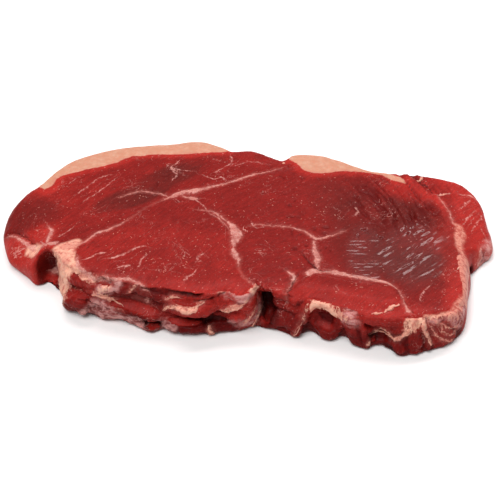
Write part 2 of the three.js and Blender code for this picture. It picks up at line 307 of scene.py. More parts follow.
def soft_noise(spots, size, seed):
    """Smooth noise from -1 to 1, with lumps of about the given size."""
    cell = spots / size + 31.7 * seed
    low = np.floor(cell)
    part = cell - low
    part = part * part * (3 - 2 * part)
    low = low.astype(np.int64)
    total = np.zeros(len(spots))
    for corner in np.ndindex(*(2,) * spots.shape[1]):
        key = (low + corner) @ np.array([73856093, 19349663, 83492791][: spots.shape[1]])
        key = ((key ^ (key >> 13)) * 1274126177) & 0x7FFFFFFF
        key = ((key ^ (key >> 15)) * 668265263) & 0x7FFFFFFF
        weight = np.prod(np.where(np.array(corner, bool), part, 1 - part), axis=1)
        total += weight * (key / 0x3FFFFFFF - 1)
    return total


def ease(value, low, high):
    """0 below low, 1 above high, and smooth between."""
    t = np.clip((value - low) / (high - low), 0, 1)
    return t * t * (3 - 2 * t)


# Seams seen on the cut faces: points in plan, and widths from one end of the line to the other.
SEAMS = {
    "long seam": (
        "seam_one",
        [(-90, -23), (-83, -16), (-71, -7), (-62, 4), (-55, 12), (-49, 17), (-41, 23), (-36, 26), (-27, 28),
         (-10, 35), (-3, 39), (8, 45), (19, 52)],
        [0.6, 1.5, 1.3, -0.2, -0.9, -0.6, 2.4, 3.4, 1.4, 0.9, 1.3, 0.6, 0.2],
    ),
    "middle seam": (
        "seam_one",
        [(-27, 8), (-21, 7), (-15, 3), (-11, -2), (-7, -8), (-5.5, -16), (-7, -27), (-7, -34), (-4.5, -40),
         (-4, -45), (-2, -52), (1, -57), (4, -59)],
        [0.3, 0.7, 0.8, 0.5, 3.0, 6.2, 3.4, 0.6, 3.6, 1.6, -0.5, -0.2, 0.2],
    ),
    "second arc": ("seam_two", [(-20, 4), (-15, 0.5), (-12, -5), (-9.5, -10)], [0.3, 0.8, 0.7, 0.4]),
    "arched seam": (
        "seam_one",
        [(2, -7), (8, -5), (15, -6), (23, -6), (28, -8), (33, -11), (37, -15), (45, -12), (53, -7)],
        [0.1, 0.5, 0.4, 0.5, 1.0, 1.4, 1.5, 0.5, 0.1],
    ),
    "strip seam": (
        "seam_one",
        [(31, -49), (34, -45.5), (41, -45), (49, -47), (56, -49), (64, -50.5), (72, -53), (77, -57.5)],
        [2.0, 5.4, 5.0, 4.4, 4.2, 4.2, 3.0, 0.8],
    ),
    "branch": (
        "seam_two",
        [(-72, 22), (-65, 25), (-58, 27), (-51, 24.5), (-45, 21.5)],
        [0.1, 0.5, 0.5, 0.5, 0.9],
    ),
    "knot": ("seam_two", [(-37, 22.5), (-32, 20.5), (-27, 19.5)], [1.0, 2.6, 0.6]),
    "down seam": (
        "seam_two",
        [(36.5, -17), (36, -23), (37.5, -33), (36.5, -38), (38, -41)],
        [1.2, 1.2, 3.2, 3.0, 0.3],
    ),
    "short seam": (
        "seam_two",
        [(21, -46), (24.5, -49.5), (25, -52), (22.5, -58), (20, -64)],
        [0.6, 2.6, 1.2, 0.1, 0.2],
    ),
    "strip end": ("seam_two", [(78, -59), (80, -63), (81, -69), (82, -76)], [0.3, 0.6, 0.8, 1.6]),
    "right seam": ("seam_two", [(108, 27), (110.3, 19), (112.8, 11), (114, 3)], [0.3, 0.7, 0.9, 1.2]),
    "flap lip": ("seam_two", [(127.2, -9), (126.5, -13), (123.5, -19), (120, -26)], [0.8, 2.2, 1.6, 0.8]),
    "lip seam": (
        "seam_two",
        [(-90, -36), (-88, -44), (-83, -50), (-77, -52.5), (-70, -54), (-63, -55), (-57, -57.5),
         (-52, -61)],
        [1.0, 2.6, 2.4, 1.6, 1.2, 1.4, 1.6, 0.8],
    ),
    "lobe band": (
        "seam_two",
        [(-136, 1), (-130, -2), (-126, -7), (-122, -12), (-118, -17)],
        [0.5, 1.6, 1.6, 2.0, 3.4],
    ),
    "lobe streak one": ("vein", [(-133, -9), (-130, -11), (-127, -11)], [0.4, 0.9, 0.4]),
    "lobe streak two": ("vein", [(-131, -13), (-127, -14), (-124, -13)], [0.4, 0.9, 0.5]),
    "lobe streak three": ("vein", [(-130, -16), (-126, -17.5)], [0.3, 0.8]),
    "lobe crease": (
        "crease",
        [(-136, 3.5), (-130, 1), (-126, -3.5), (-121.5, -9), (-117.5, -15)],
        [0.3, 0.5, 0.5, 0.5, 0.3],
    ),
    "left fleck": (
        "seam_one",
        [(-110, -3), (-107.5, -8), (-108.5, -14), (-109, -20)],
        [0.6, 2.4, 2.0, 1.4],
    ),
    "arch rim": (
        "seam_one",
        [(-116, -20), (-111, -20.5), (-106, -21.5), (-102, -22)],
        [1.0, 2.6, 2.8, 2.4],
    ),
    "vein one": ("vein", [(-86, -38.5), (-82, -37), (-80.5, -34.5), (-75, -33.5)], [0.8, 1.3, 1.5, 0.5]),
    "vein two": (
        "vein",
        [(-74, -39), (-68, -37), (-63, -33.5), (-60, -31), (-56, -28.5), (-53, -29)],
        [0.7, 1.3, 1.5, 1.2, 0.9, 0.4],
    ),
    "vein three": ("vein", [(-67, -47), (-63, -45.5), (-61, -46.5)], [0.5, 1.2, 0.4]),
    "vein four": ("vein", [(-98, 24), (-91, 34), (-85, 41), (-79, 44)], [0.3, 0.7, 0.8, 0.3]),
    "vein five": ("vein", [(-92, 18), (-84, 29), (-75, 42)], [0.3, 0.6, 0.3]),
    "vein six": ("vein", [(-95, -4), (-99, -11), (-103, -15)], [0.3, 0.8, 0.5]),
    "vein seven": (
        "vein",
        [(-40, 57), (-42, 53), (-44, 50), (-41, 44), (-43, 38)],
        [0.5, 0.9, 1.3, 0.9, 0.4],
    ),
    "vein seven b": ("vein", [(-44, 50), (-39, 48), (-33, 46.5)], [0.9, 0.8, 0.3]),
    "vein twelve": (
        "vein",
        [(-20, 45), (-15, 48.5), (-11, 54), (-9, 60), (-10, 64)],
        [0.3, 0.8, 0.5, 0.6, 0.9],
    ),
    "vein thirteen": ("vein", [(-26, 42), (-19, 38), (-15, 40), (-12, 36)], [0.3, 0.7, 0.6, 0.3]),
    "vein fourteen": ("vein", [(-29, 17), (-26, 14), (-24, 10), (-21, 5)], [0.4, 0.6, 0.2, 0.2]),
    "vein fifteen": ("vein", [(2, -3), (5, -9), (9, -7)], [0.3, 0.7, 0.3]),
    "vein sixteen": ("vein", [(60, 17), (62, 12), (58, 7)], [0.3, 0.9, 0.3]),
    "vein seventeen": ("vein", [(89, -66), (92, -58), (96, -52)], [0.3, 0.8, 0.3]),
    "vein eighteen": ("vein", [(-33, -60), (-30, -54), (-26, -48)], [0.3, 0.9, 0.3]),
    "vein nineteen": ("vein", [(-27, -43), (-25, -38), (-22, -33)], [0.3, 0.7, 0.3]),
    "vein eight": ("vein", [(-57, -47), (-55, -40), (-52, -35)], [0.3, 0.8, 0.3]),
    "vein nine": ("vein", [(121, 31.5), (126, 32.5), (130, 31)], [0.4, 1.4, 0.4]),
    "vein ten": ("vein", [(107, 29), (111.5, 30), (115, 31.5)], [0.5, 2.0, 0.8]),
    "flap streak one": ("vein", [(119, 4), (122.5, 11), (128.5, 20.5)], [0.4, 0.8, 0.3]),
    "flap streak two": ("vein", [(123.5, 0), (126, 6.5), (132, 17)], [0.3, 0.7, 0.3]),
    "flap streak three": ("vein", [(129.5, 6), (131.5, -1), (132, -8)], [0.4, 0.9, 0.5]),
    "flap streak four": ("vein", [(119, 18), (122.5, 21.5), (126, 28)], [0.3, 0.6, 0.3]),
    "vein eleven": ("vein", [(-8, 52), (0, 57), (9, 56)], [0.3, 0.6, 0.3]),
    "dark crease": ("crease", [(29, -28), (33, -36), (37, -41.5), (44, -43.5)], [0.3, 1.2, 1.6, 0.4]),
    "strip crease": ("crease", [(27, -48), (24, -56), (21, -64)], [0.4, 0.9, 1.0]),
    "corner crease": ("crease", [(78, -60), (82, -67), (84, -76)], [-0.4, -0.1, 0.2]),
    "flap crease": ("crease", [(125, -16), (127.5, -14), (129.5, -11)], [0.3, 0.9, 0.4]),
    "far fold": ("crease", [(95, 48.5), (98.5, 44.5), (102, 40), (106.5, 31)], [0.3, 0.7, 0.8, 0.3]),
    "wrinkle one": ("crease", [(90, 41), (95.4, 28), (101, 13), (104, 0)], [-0.6, -0.1, -0.3, -0.6]),
    "wrinkle two": ("crease", [(85.5, 36), (90.5, 18.4), (93.5, 4)], [-0.6, -0.2, -0.6]),
    "wrinkle three": ("crease", [(98.5, 27), (103, 13), (106, -3)], [-0.6, -0.2, -0.6]),
}

# Seams and strands on the ragged edge: points along the slice and up.
EDGE_SEAMS = {
    "torn strand": (
        "edge_one",
        [(-43, 14.5), (-40, 18.2), (-34.5, 19.6), (-30.4, 18.8), (-26.8, 20), (-22, 22.4)],
        [0.4, 0.8, 1.8, 2.6, 1.6, 0.5],
    ),
    "strip of fat": ("edge_one", [(-80, 18.5), (-76, 16.5), (-71, 14), (-66, 11.5)], [3.6, 3.4, 2.2, 0.6]),
    "roll fat": (
        "edge_one",
        [(-15, 16), (-11, 15.8), (-6, 18.5), (-3, 21), (-1.5, 24)],
        [1.0, 4.2, 3.2, 2.0, 1.0],
    ),
    "wavy fat": (
        "edge_one",
        [(82, 15), (80, 12), (77, 9.5), (74, 8.5), (71, 10.5), (67, 10), (64, 7), (62, 3)],
        [1.8, 2.0, 1.6, 2.0, 1.6, 1.6, 1.4, 1.4],
    ),
    "foot strand": ("edge_one", [(28, 15), (27.5, 11), (25.5, 7), (24, 1)], [0.6, 0.2, 0.1, 0.1]),
    "corner line": ("edge_one", [(94, 19), (98, 15.5), (103, 11.5), (110, 9)], [0.5, 0.7, 0.7, 0.4]),
    "first stripe": ("edge_two", [(95, 18), (98.5, 13), (103, 8.5), (109, 6.5)], [0.3, 0.5, 0.5, 0.3]),
    "pillar line": ("edge_one", [(7, 10), (4, 5), (1.5, 0)], [1.2, 1.1, 0.9]),
    "spot": ("edge_one", [(-20.5, 6.5), (-18.5, 1.5)], [2.0, 3.2]),
    "upper roll fat": (
        "edge_two",
        [(-15, 26.2), (-10, 26.8), (-6, 27.6), (-2, 28), (3, 27)],
        [0.6, 1.6, 3.2, 3.8, 3.0],
    ),
    "small strand": ("edge_two", [(-42, 21.5), (-39, 22.4), (-35, 22.6)], [0.4, 0.8, 0.5]),
    "thin line": ("edge_two", [(-64, 19), (-57, 26)], [0.6, 0.9]),
    "corner fat": ("edge_two", [(89, 19), (90.5, 14), (92.5, 8), (95, 4)], [3.6, 2.2, 1.8, 0.8]),
    "second stripe": ("edge_one", [(93.5, 15), (96, 10), (100, 6), (106, 3.5)], [0.3, 0.6, 0.5, 0.3]),
    "pillar rim": ("edge_two", [(-3, 4), (0, 10), (3, 15)], [0.5, 1.2, 0.7]),
    "lip gap": ("edge_gap", [(-43, 26.6), (-36, 26.4), (-29, 25.8), (-23, 26)], [0.3, 1.2, 1.0, 0.3]),
    "flap gap": ("edge_gap", [(-76, 25), (-72, 24.5), (-69, 26)], [0.1, 0.3, 0.1]),
    "under ledge": ("edge_gap", [(-40, 8.6), (-30, 8.4), (-20, 9), (-10, 8.4)], [0.8, 2.2, 2.4, 0.8]),
    "left hole": ("edge_gap", [(-56, 5.5), (-50, 6), (-45, 3)], [0.6, 3.0, 1.4]),
    "right slit": ("edge_gap", [(60, 15), (64, 13), (68, 14)], [0.5, 1.4, 0.6]),
    "chunk gap": ("edge_gap", [(-92, 14), (-86, 13), (-80, 11)], [0.3, 0.8, 0.3]),
}

# Areas of fat on the cut faces, drawn past the rim where they turn down over it. The cap is firm peach fat.
CAP_AREAS = {
    "cap": [(-116, 30.5), (-113.5, 34), (-111.5, 39), (-108.5, 44.5), (-103, 47.5), (-95, 50), (-86, 52.5),
            (-78, 56.5), (-71, 61.5), (-58, 65), (-37, 64.5), (-22, 67), (-12, 69), (-8, 76), (-10, 100),
            (-80, 100), (-130, 70), (-124, 38)],
    "second cap": [(24, 61), (29.5, 56), (32, 49), (37, 46), (48, 48), (54, 50.5), (62, 51), (69, 50),
                   (77, 47.5), (84, 42.5), (90, 41), (89, 45), (82, 50), (82, 60), (60, 82), (24, 82),
                   (23, 70)],
}
# Softer cream fat, with red threads of meat through it.
CREAM_AREAS = {
    "pocket": [(-105, -27), (-102, -23.5), (-97, -20.5), (-92, -18), (-89.5, -20), (-91, -27), (-91, -36),
               (-88, -44), (-84, -49), (-79, -51), (-80, -53.5), (-87, -51), (-92, -47.5), (-97, -46),
               (-101, -42), (-105, -34)],
    "lobe patch": [(-123, -13), (-118, -13), (-113, -18), (-113, -21), (-117, -22), (-121, -21),
                   (-124, -18)],
}
# The band of fat along the right rim: points in plan, and widths.
RIM_BAND = (
    [
        (114, 4), (117.3, 0), (116.5, -5), (115.2, -11), (115.2, -18), (115.8, -26), (116.5, -34),
        (117, -42), (116.5, -50), (114, -58), (109, -66.5), (103, -72.5), (97, -76.2), (90, -77.5),
    ],
    [0.6, 5.2, 5.2, 3.6, 2.8, 2.4, 5.0, 6.4, 7.0, 6.4, 4.8, 2.6, 1.6, 0.8],
)
# Thin skin and fat over lean meat, seen from above.
VEIL_AREAS = {
    "rim wall": [(118, -62), (113, -72), (104, -80), (110, -90), (140, -80), (140, -62)],
    "flap": [(127.5, -9.5), (130, -3), (133, 1), (137, 1.5), (150, 0), (150, -30), (124, -30), (126, -14)],
}
# The same on the ragged edge, along the slice and up.
EDGE_CREAM_AREAS = {
    "fat hump": [(29.5, 17), (31, 21), (34, 24.5), (39, 26), (44, 24), (48.5, 20.5), (52, 19.5), (52, 17),
                 (48, 15.5), (44, 16), (40, 16.5), (36, 17), (33, 16)],
    "pale roll": [(-78, 19.5), (-76, 22), (-72, 23.5), (-70.5, 22.5), (-73, 20), (-76, 18.5)],
    "fat pillar": [(79.5, 24), (86, 26), (91, 23), (90, 19), (87.5, 16.5), (84, 14), (80.5, 13.5),
                   (81, 18)],
    "pocket foot": [(-105, 26), (-94, 26), (-93, 22), (-94.5, 17), (-95, 11), (-96.5, 5), (-99, 1),
                    (-103, 2), (-104.5, 8), (-103.5, 14), (-104.5, 20)],
    "pillar top": [(0, 27), (5, 27), (5.5, 23.5), (2, 22.5)],
}
EDGE_VEIL_AREAS = {
    "pillar crown": [(-12, 23.5), (-10, 27.5), (5, 28.5), (5, 24), (0, 20.5), (-5, 22.5)],
    "roll flank": [(-80, 17.5), (-77, 23.5), (-71, 26), (-65, 27), (-66, 22.5), (-71, 18.5), (-76, 16)],
    "silverskin": [(-88, 7), (-83, 12.5), (-77, 15), (-71, 11.5), (-62, 8), (-51, 8), (-40, 8.5), (-37, 4),
                   (-44, -3), (-80, -3), (-90, 2)],
    "pillar side": [(1, 9), (6, 14), (9, 11), (7, 4), (3, 3), (-4, 4), (-9, 8), (-4, 10)],
    "hump side": [(48, 21), (52, 22.5), (56, 20), (57, 14), (50, 12), (47, 15)],
    "corner": [(99, 17.5), (104, 18.5), (110, 17.5), (116, 16), (115, 11), (110, 7.5), (105, 12)],
    "corner flank": [(90, 22), (96, 20), (100, 17), (97, 15), (93, 17), (90, 18)],
}
# Rolls and flakes that the ragged edge has fallen into: points along the slice and up, width, and bulge.
EDGE_ROLLS = {
    "top lip": ([(-80, 25.5), (-66, 27.2), (-45, 28.4), (-25, 28.2), (-10, 27.6)], 3.6, 2.3),
    "torn chunk": ([(-97, 5), (-92, 8.5), (-87, 11.5), (-81, 15.5)], 10.0, 2.8),
    "pocket skirt": ([(-93, 20), (-87, 19), (-81, 20.5)], 8, 2.0),
    "pale roll": ([(-77, 19), (-73, 22.5), (-69.5, 25), (-65.5, 27)], 6.5, 2.8),
    "dark block": ([(-67, 21), (-62.5, 23), (-58, 26)], 6, 1.6),
    "ledge": ([(-74, 15), (-64, 14.2), (-56, 13.8), (-48, 13), (-41, 12)], 9.5, 2.4),
    "silverskin": ([(-88, 5), (-78, 4.5), (-70, 5.5), (-62, 3.5), (-49, 2)], 8, 1.3),
    "lip": ([(-55, 23), (-46, 21), (-37, 20.5)], 5.5, 1.2),
    "slit roll": ([(-38, 21.5), (-30, 22.8), (-22, 25), (-16, 26)], 3.8, 1.8),
    "first roll": ([(-42, 14), (-35, 15.5), (-27, 16.8), (-18, 18.5)], 9, 2.8),
    "right roll": ([(-14, 19), (-8.5, 21), (-4.4, 22), (-1, 23.5)], 10.5, 2.8),
    "low left": ([(-41, 5.6), (-33, 4.6), (-25, 4.3), (-17, 4)], 8, 1.4),
    "low middle": ([(-15, 9.5), (-8, 10), (-2, 11), (2, 13)], 6.5, 1.5),
    "low foot": ([(-14, 3), (-8, 2.6), (-3, 3)], 5, 1.0),
    "pillar": ([(0.5, 23), (3, 13), (2.5, 5), (0.5, 1)], 10, 2.6),
    "notch block": ([(12.5, 25), (17, 24.5), (22, 22)], 7.5, 1.6),
    "notch side": ([(14, 17), (19, 16.5), (24, 17)], 6, 1.2),
    "low block": ([(10, 5), (15, 8), (20, 8.5), (23, 8)], 9, 1.8),
    "hump": ([(29, 11), (31, 18.5), (35, 22.3), (40, 22.3), (44, 21), (48, 18), (54, 17.3)], 7.5, 3.0),
    "first foot": ([(27.5, 12), (26.5, 7), (24.5, 0)], 6, 1.9),
    "below the hump": ([(30, 12), (35, 9), (40, 4)], 7, 1.5),
    "second side": ([(48, 12), (45.5, 6), (42, 1)], 6, 1.5),
    "third foot": ([(51, 13), (53.5, 8), (57, 0)], 6.5, 2.0),
    "fourth foot": ([(57.5, 17), (60, 11), (61.5, 2)], 4.6, 1.4),
    "strip block": ([(60, 19.5), (67, 18.2), (74, 18.5), (79, 20)], 9.5, 2.0),
    "wavy roll": ([(63.5, 11.5), (68, 12.8), (73, 12.6), (78, 15)], 4.6, 1.2),
    "under wavy": ([(66, 2.5), (72, 3.6), (78, 5)], 6, 1.2),
    "fat pillar": ([(83, 24), (83.5, 20), (82.5, 15)], 7, 1.5),
    "fat branch": ([(88.5, 22), (89, 16), (91.5, 10), (93, 3)], 3.2, 1.7),
    "red block": ([(85.2, 14), (86, 8), (87, 1)], 7, 1.8),
    "stripe one": ([(93.5, 15), (96, 9), (99.5, 4), (102, 0)], 7.0, 1.4),
    "stripe two": ([(96.5, 17), (100, 10.5), (106, 4.5)], 7.0, 1.6),
    "stripe three": ([(101, 19.5), (106, 15), (111, 10)], 8.0, 1.9),
}

x, y, z = places.T
up = ease(normals[:, 2], 0.3, 0.8)
facing_out = ease(0.8 - normals[:, 2], 0, 0.3)
off_underside = ease(normals[:, 2], -0.97, -0.6)
shaded_edge = ease(-y, 14, 22) * facing_out * ease(x, -112, -104) * ease(116 - x, 0, 6) * off_underside
wander = 0.8 * np.column_stack([soft_noise(places, 6, 1), soft_noise(places, 6, 2)])
wander += 0.45 * np.column_stack([soft_noise(places, 2.2, 3), soft_noise(places, 2.2, 4)])
slope_of_seams = (z - 24)[:, None] * [0.14, 0.1]  # seams cross the slice a little aslant
plan = places[:, :2] + wander + slope_of_seams
edge_spots = places[:, [0, 2]] + wander

FAR_AWAY = 50.0  # the distance kept where no line of a layer is near
NO_LINE = -9.0  # the half width kept there


def draw_lines(spots, lines, reach=6):
    """For each layer of lines: the signed distance to its nearest line, and that line's half width."""
    layers = {}
    for layer, points, widths in lines.values():
        line = smooth_line(points)
        if layer not in layers:
            layers[layer] = np.full(len(spots), FAR_AWAY), np.full(len(spots), NO_LINE)
        signed, half = layers[layer]
        near = np.flatnonzero(
            np.all((spots > line.min(0) - reach) & (spots < line.max(0) + reach), axis=1)
        )
        distance, share = measure_line(spots[near], line)
        width = np.interp(share, np.linspace(0, 1, len(widths)), widths)
        width[(share <= 0) | (share >= 1)] *= 0.0
        better = (np.abs(distance) < np.abs(signed[near])) & (np.abs(distance) < reach)
        signed[near[better]] = distance[better]
        half[near[better]] = width[better] / 2
    return layers


def deepest(spots, areas):
    """Distance of each spot into the nearest of some areas."""
    return np.max([measure_area(spots, corners) for corners in areas.values()], axis=0)


seam_layers = draw_lines(plan, SEAMS)
edge_layers = draw_lines(edge_spots, EDGE_SEAMS)
for signed, half in edge_layers.values():
    half[shaded_edge < 0.3] = NO_LINE
off_edge = np.where(shaded_edge > 0.3, 0, -60)
off_top = np.where(normals[:, 2] > 0.25, 0, -60)
cap_depth = deepest(plan, CAP_AREAS)
edge_cream_depth = deepest(edge_spots, EDGE_CREAM_AREAS) + off_edge
edge_veil_depth = deepest(edge_spots, EDGE_VEIL_AREAS) + off_edge
cream_depth = np.maximum(deepest(plan, CREAM_AREAS) + off_top, edge_cream_depth)
veil_depth = np.maximum(deepest(plan, VEIL_AREAS), edge_veil_depth)

band_points, band_widths = RIM_BAND
from_band, band_share = measure_line(plan, smooth_line(band_points))
band_width = np.interp(band_share, np.linspace(0, 1, len(band_widths)), band_widths)
cream_depth = np.maximum(cream_depth, band_width / 2 - np.abs(from_band) + off_top)
over_the_rim = np.minimum(normals[:, 2] + 0.5, 0.5) * 4 + ease(-y, 20, 30) - 1
on_right_rim = (plan[:, 0] > 112) & (y < -22) & (z > 9) & (x > 110)
cream_depth = np.maximum(cream_depth, np.where(on_right_rim, over_the_rim, -9))


def ridge(layer, spread=1.0):
    """1 in the middle of the lines of a layer, falling to 0 past their sides."""
    signed, half = layer
    return np.where(half > -5, 1 - ease(np.abs(signed) - np.maximum(half, 0), -0.4, spread), 0)


# Painted shade: deep in the hollows the colour is darkened, less so in those that open wide.
WIDE_HOLLOWS = {"left arch": 0.6, "pocket side": 0.25, "pocket foot": 0.25, "below the pocket": 0.25}
hollow_shade = np.zeros(len(places))
for name, (centre, radii) in HOLLOWS.items():
    reach = np.sqrt((((places - centre) / radii) ** 2 * [1, 0.6, 1]).sum(axis=1))
    hollow_shade = np.maximum(hollow_shade, WIDE_HOLLOWS.get(name, 1.0) * (1 - ease(reach, 0.8, 1.5)))
hollow_shade *= ease(0.7 - normals[:, 2], 0, 0.3) * (1 - 0.65 * ease(-normals[:, 0], 0, 0.5) * (x < -96))

# No fat is drawn inside the arch at the left.
in_arch = ease(hollow_shade, 0.25, 0.6) * (x < -96)
cream_depth -= 10 * in_arch
for name in ("seam_one", "seam_two"):
    seam_layers[name][1][in_arch > 0.5] = NO_LINE


def along_grain(angle, long, across, seed):
    """Noise drawn out along a direction in plan, given in degrees."""
    turn = np.radians(angle)
    share_along = (x * np.cos(turn) + y * np.sin(turn)) / long
    share_across = (y * np.cos(turn) - x * np.sin(turn)) / across
    return soft_noise(np.column_stack([share_along, share_across, z / 12]), 1, seed)


def inside_oval(cx, cy, rx, ry, softness=0.5, turn=0):
    """1 inside an oval in plan, turned by degrees, fading out over its softness."""
    cos_turn, sin_turn = math.cos(math.radians(turn)), math.sin(math.radians(turn))
    along = (plan[:, 0] - cx) * cos_turn + (plan[:, 1] - cy) * sin_turn
    across = (plan[:, 1] - cy) * cos_turn - (plan[:, 0] - cx) * sin_turn
    return 1 - ease(np.hypot(along / rx, across / ry), 1 - softness, 1 + softness)


def ripples(angle, spacing, seed):
    """Long low waves with crests along a direction in plan, broken here and there."""
    turn = math.radians(angle)
    wobble = 0.9 * soft_noise(places, 9, seed) + 0.35 * soft_noise(places, 3.5, seed + 1)
    across = y * math.cos(turn) - x * math.sin(turn) + wobble
    strength = ease(along_grain(angle, 3.4 * spacing, 1.1 * spacing, seed + 2), -0.4, 0.3)
    return np.sin(2 * math.pi * across / spacing) * strength


# The muscles, and the way their fibres run in degrees from the slice's length.
REAR_GRAIN = 48
FRONT_LEFT_GRAIN = 56
RIGHT_GRAIN = 40
STRIP_MUSCLE = [
    (31, -49), (41, -45), (56, -49), (66, -51), (73, -54), (79, -60), (84, -80), (40, -80), (24, -64),
]
long_seam_side = np.interp(x, *np.array(SEAMS["long seam"][1]).T)
middle_line = np.array(SEAMS["middle seam"][1])[::-1]
middle_seam_side = np.interp(y, middle_line[:, 1], middle_line[:, 0])
is_rear = y > long_seam_side
is_front_left = ~is_rear & (x < middle_seam_side)
strip_depth = measure_area(plan, STRIP_MUSCLE)
lean = ease(-np.maximum(cap_depth, cream_depth), -0.5, 1.5)
sunk = inside_oval(82, -18, 36, 38, 0.35) * ease(-strip_depth, 0, 3) * lean
far_corner = inside_oval(86, 24, 30, 28, 0.4) * lean

# How the cut faces rise and fall, in millimetres: broad swells, as size, height and seed; the grooves that
# seams and creases lie in, as layer, depth and spread; and how far the fat in them stands out again.
SWELLS = [(22, 0.45, 5), (9, 0.25, 6), (3.5, 0.12, 7)]
GROOVES = [("seam_one", 0.5, 4.0), ("seam_two", 0.4, 3.0), ("vein", 0.1, 1.2), ("crease", 1.4, 2.2)]
BEADS = [("seam_one", 0.5), ("seam_two", 0.4), ("vein", 0.2)]
CAP_BULGE = 0.45
STRIP_RISE = 0.9
WRINKLE_DEPTH = 1.7
PIT_DEPTH = 0.8
FRONT_RIM = [
    (-80, -53), (-60, -57), (-45, -62), (-20, -63), (0, -60), (14, -58), (24, -62), (34, -66), (44, -68),
    (56, -72), (70, -74), (80, -75),
]
rim_distance = y - np.interp(x, *np.array(FRONT_RIM).T)
relief = sum(height * soft_noise(places, size, seed) for size, height, seed in SWELLS)
for name, depth, spread in GROOVES:
    relief -= depth * ridge(seam_layers[name], spread)
for name, height in BEADS:
    _, half = seam_layers[name]
    relief += height * np.clip(half, 0, 1.4) * ridge(seam_layers[name], 0.5)
rim_drop = 0.7 + 1.7 * ease(x, 22, 34) * ease(86 - x, 0, 8)
relief -= up * rim_drop * (1 - ease(rim_distance, -2, 10)) ** 2 * (y < -30)
fibre = along_grain(RIGHT_GRAIN, 7, 1.9, 10)
fibre = np.where(is_front_left, along_grain(FRONT_LEFT_GRAIN, 8, 1.8, 9), fibre)
fibre = np.where(is_rear, along_grain(REAR_GRAIN, 9, 1.9, 8), fibre)
pebbles = soft_noise(places, 1.9, 20) + 0.6 * soft_noise(places, 1.2, 21)
relief += up * lean * (0.12 * fibre + 0.09 * pebbles) * (1 - sunk) * (1 - far_corner)
pits = ease(soft_noise(places, 2.6, 44) * ease(soft_noise(places, 17, 45), -0.1, 0.4), 0.42, 0.75)
pits *= inside_oval(-10, 0, 110, 50, 0.2) * ease(lean, 0.9, 1)
relief -= up * lean * PIT_DEPTH * pits
relief += up * sunk * 0.2 * soft_noise(places, 12, 31)

# The sunken right muscle is rippled where it shines, and wrinkled towards the far corner.
near_glint = inside_oval(63, -28, 10.5, 28, 0.3, -4)
far_glint = inside_oval(88, -26, 17, 29, 0.35, -10) * ease(-strip_depth, 1, 4)
glint = lean * np.maximum(near_glint * (0.75 + 0.25 * soft_noise(places, 6, 33)), far_glint * 0.9)
relief += up * lean * near_glint * (0.15 * ripples(4, 2.9, 34) + 0.06 * ripples(-6, 1.9, 60))
relief += up * lean * far_glint * (0.27 * ripples(50, 4.2, 38) + 0.13 * ripples(42, 2.7, 47))
creases = np.abs(along_grain(-66 - 0.25 * (30 - y), 20, 2.8, 15) + 0.35 * along_grain(-55, 6, 1.8, 16))
relief += up * far_corner * WRINKLE_DEPTH * (np.minimum(creases * 2.2, 1) - 0.8)
relief += CAP_BULGE * ease(cap_depth, 0.0, 1.8) * up
relief += 0.14 * ease(cap_depth, 0, 2) * soft_noise(places, 4.5, 17)
relief += STRIP_RISE * ease(strip_depth, 0, 2.4) * up * ease(x, 30, 40)

# How the ragged edge falls into rolls with sharp creases between them, and tears along its fibres.
GAP_DEPTH = 2.3
STRAND_RISE = 0.9
roll_height = np.zeros(len(places))
for points, width, bulge in EDGE_ROLLS.values():
    line = smooth_line(points)
    near = np.flatnonzero(
        np.all((edge_spots > line.min(0) - width) & (edge_spots < line.max(0) + width), axis=1)
    )
    distance, _ = measure_line(edge_spots[near], line)
    dome = bulge * np.sqrt(np.clip(1 - (2 * distance / width) ** 2, 0, 1))
    roll_height[near] = np.maximum(roll_height[near], dome)
torn = np.abs(soft_noise(places * [0.5, 0.7, 1.3], 3.0, 18))
finely_torn = np.abs(soft_noise(places * [0.6, 0.7, 1.2], 1.6, 30))
stringy = soft_noise(places * [1.0, 0.5, 0.5], 1.9, 19)
edge_relief = roll_height - 1.5 + 0.7 * np.minimum(torn * 3, 1) + 0.35 * np.minimum(finely_torn * 3, 1)
edge_relief += 0.3 * stringy
edge_relief -= GAP_DEPTH * ridge(edge_layers["edge_gap"], 1.2)
for name in ("edge_one", "edge_two"):
    _, half = edge_layers[name]
    edge_relief += np.clip(half, 0, 1.8) * STRAND_RISE * ridge(edge_layers[name], 0.6)
relief += shaded_edge * (edge_relief - 0.5 * relief)
relief *= ease(z, 0.2, 2.5)
moved = places + normals * relief[:, None]

# The slice sags outwards a little where it meets the table: places along it, and by how much.
FOOT_PLACES = [-92, -78, -62, -50, 20, 70, 82, 112, 124, 136]
FOOT_SPREADS = [0.5, 2.6, 3, 0.6, 0.8, 1.0, 3.0, 3.2, 4.2, 4.5]
foot_spread = np.interp(x, FOOT_PLACES, FOOT_SPREADS)
foot_spread *= (1 - ease(z, 0.5, 11)) * ease(-y, 8, 14)
moved[:, 1] -= foot_spread * ease(-normals[:, 1], -0.2, 0.4)
moved[:, 2] = np.maximum(moved[:, 2], 0)
write_places(flesh.data, moved)


# Colours of the lean meat change with how long its face has met the air; painted shade and painted light are
# kept alongside them.
def keep_values(name, *columns):
    """Keeps up to three values on each vertex, for the material to read."""
    values = np.zeros((len(places), 3), np.float32)
    for k, column in enumerate(columns):
        values[:, k] = column
    attribute = flesh.data.attributes.new(name, "FLOAT_VECTOR", "POINT")
    attribute.data.foreach_set("vector", values.ravel())


for name, (signed, half) in {**seam_layers, **edge_layers}.items():
    keep_values(name, signed, half)

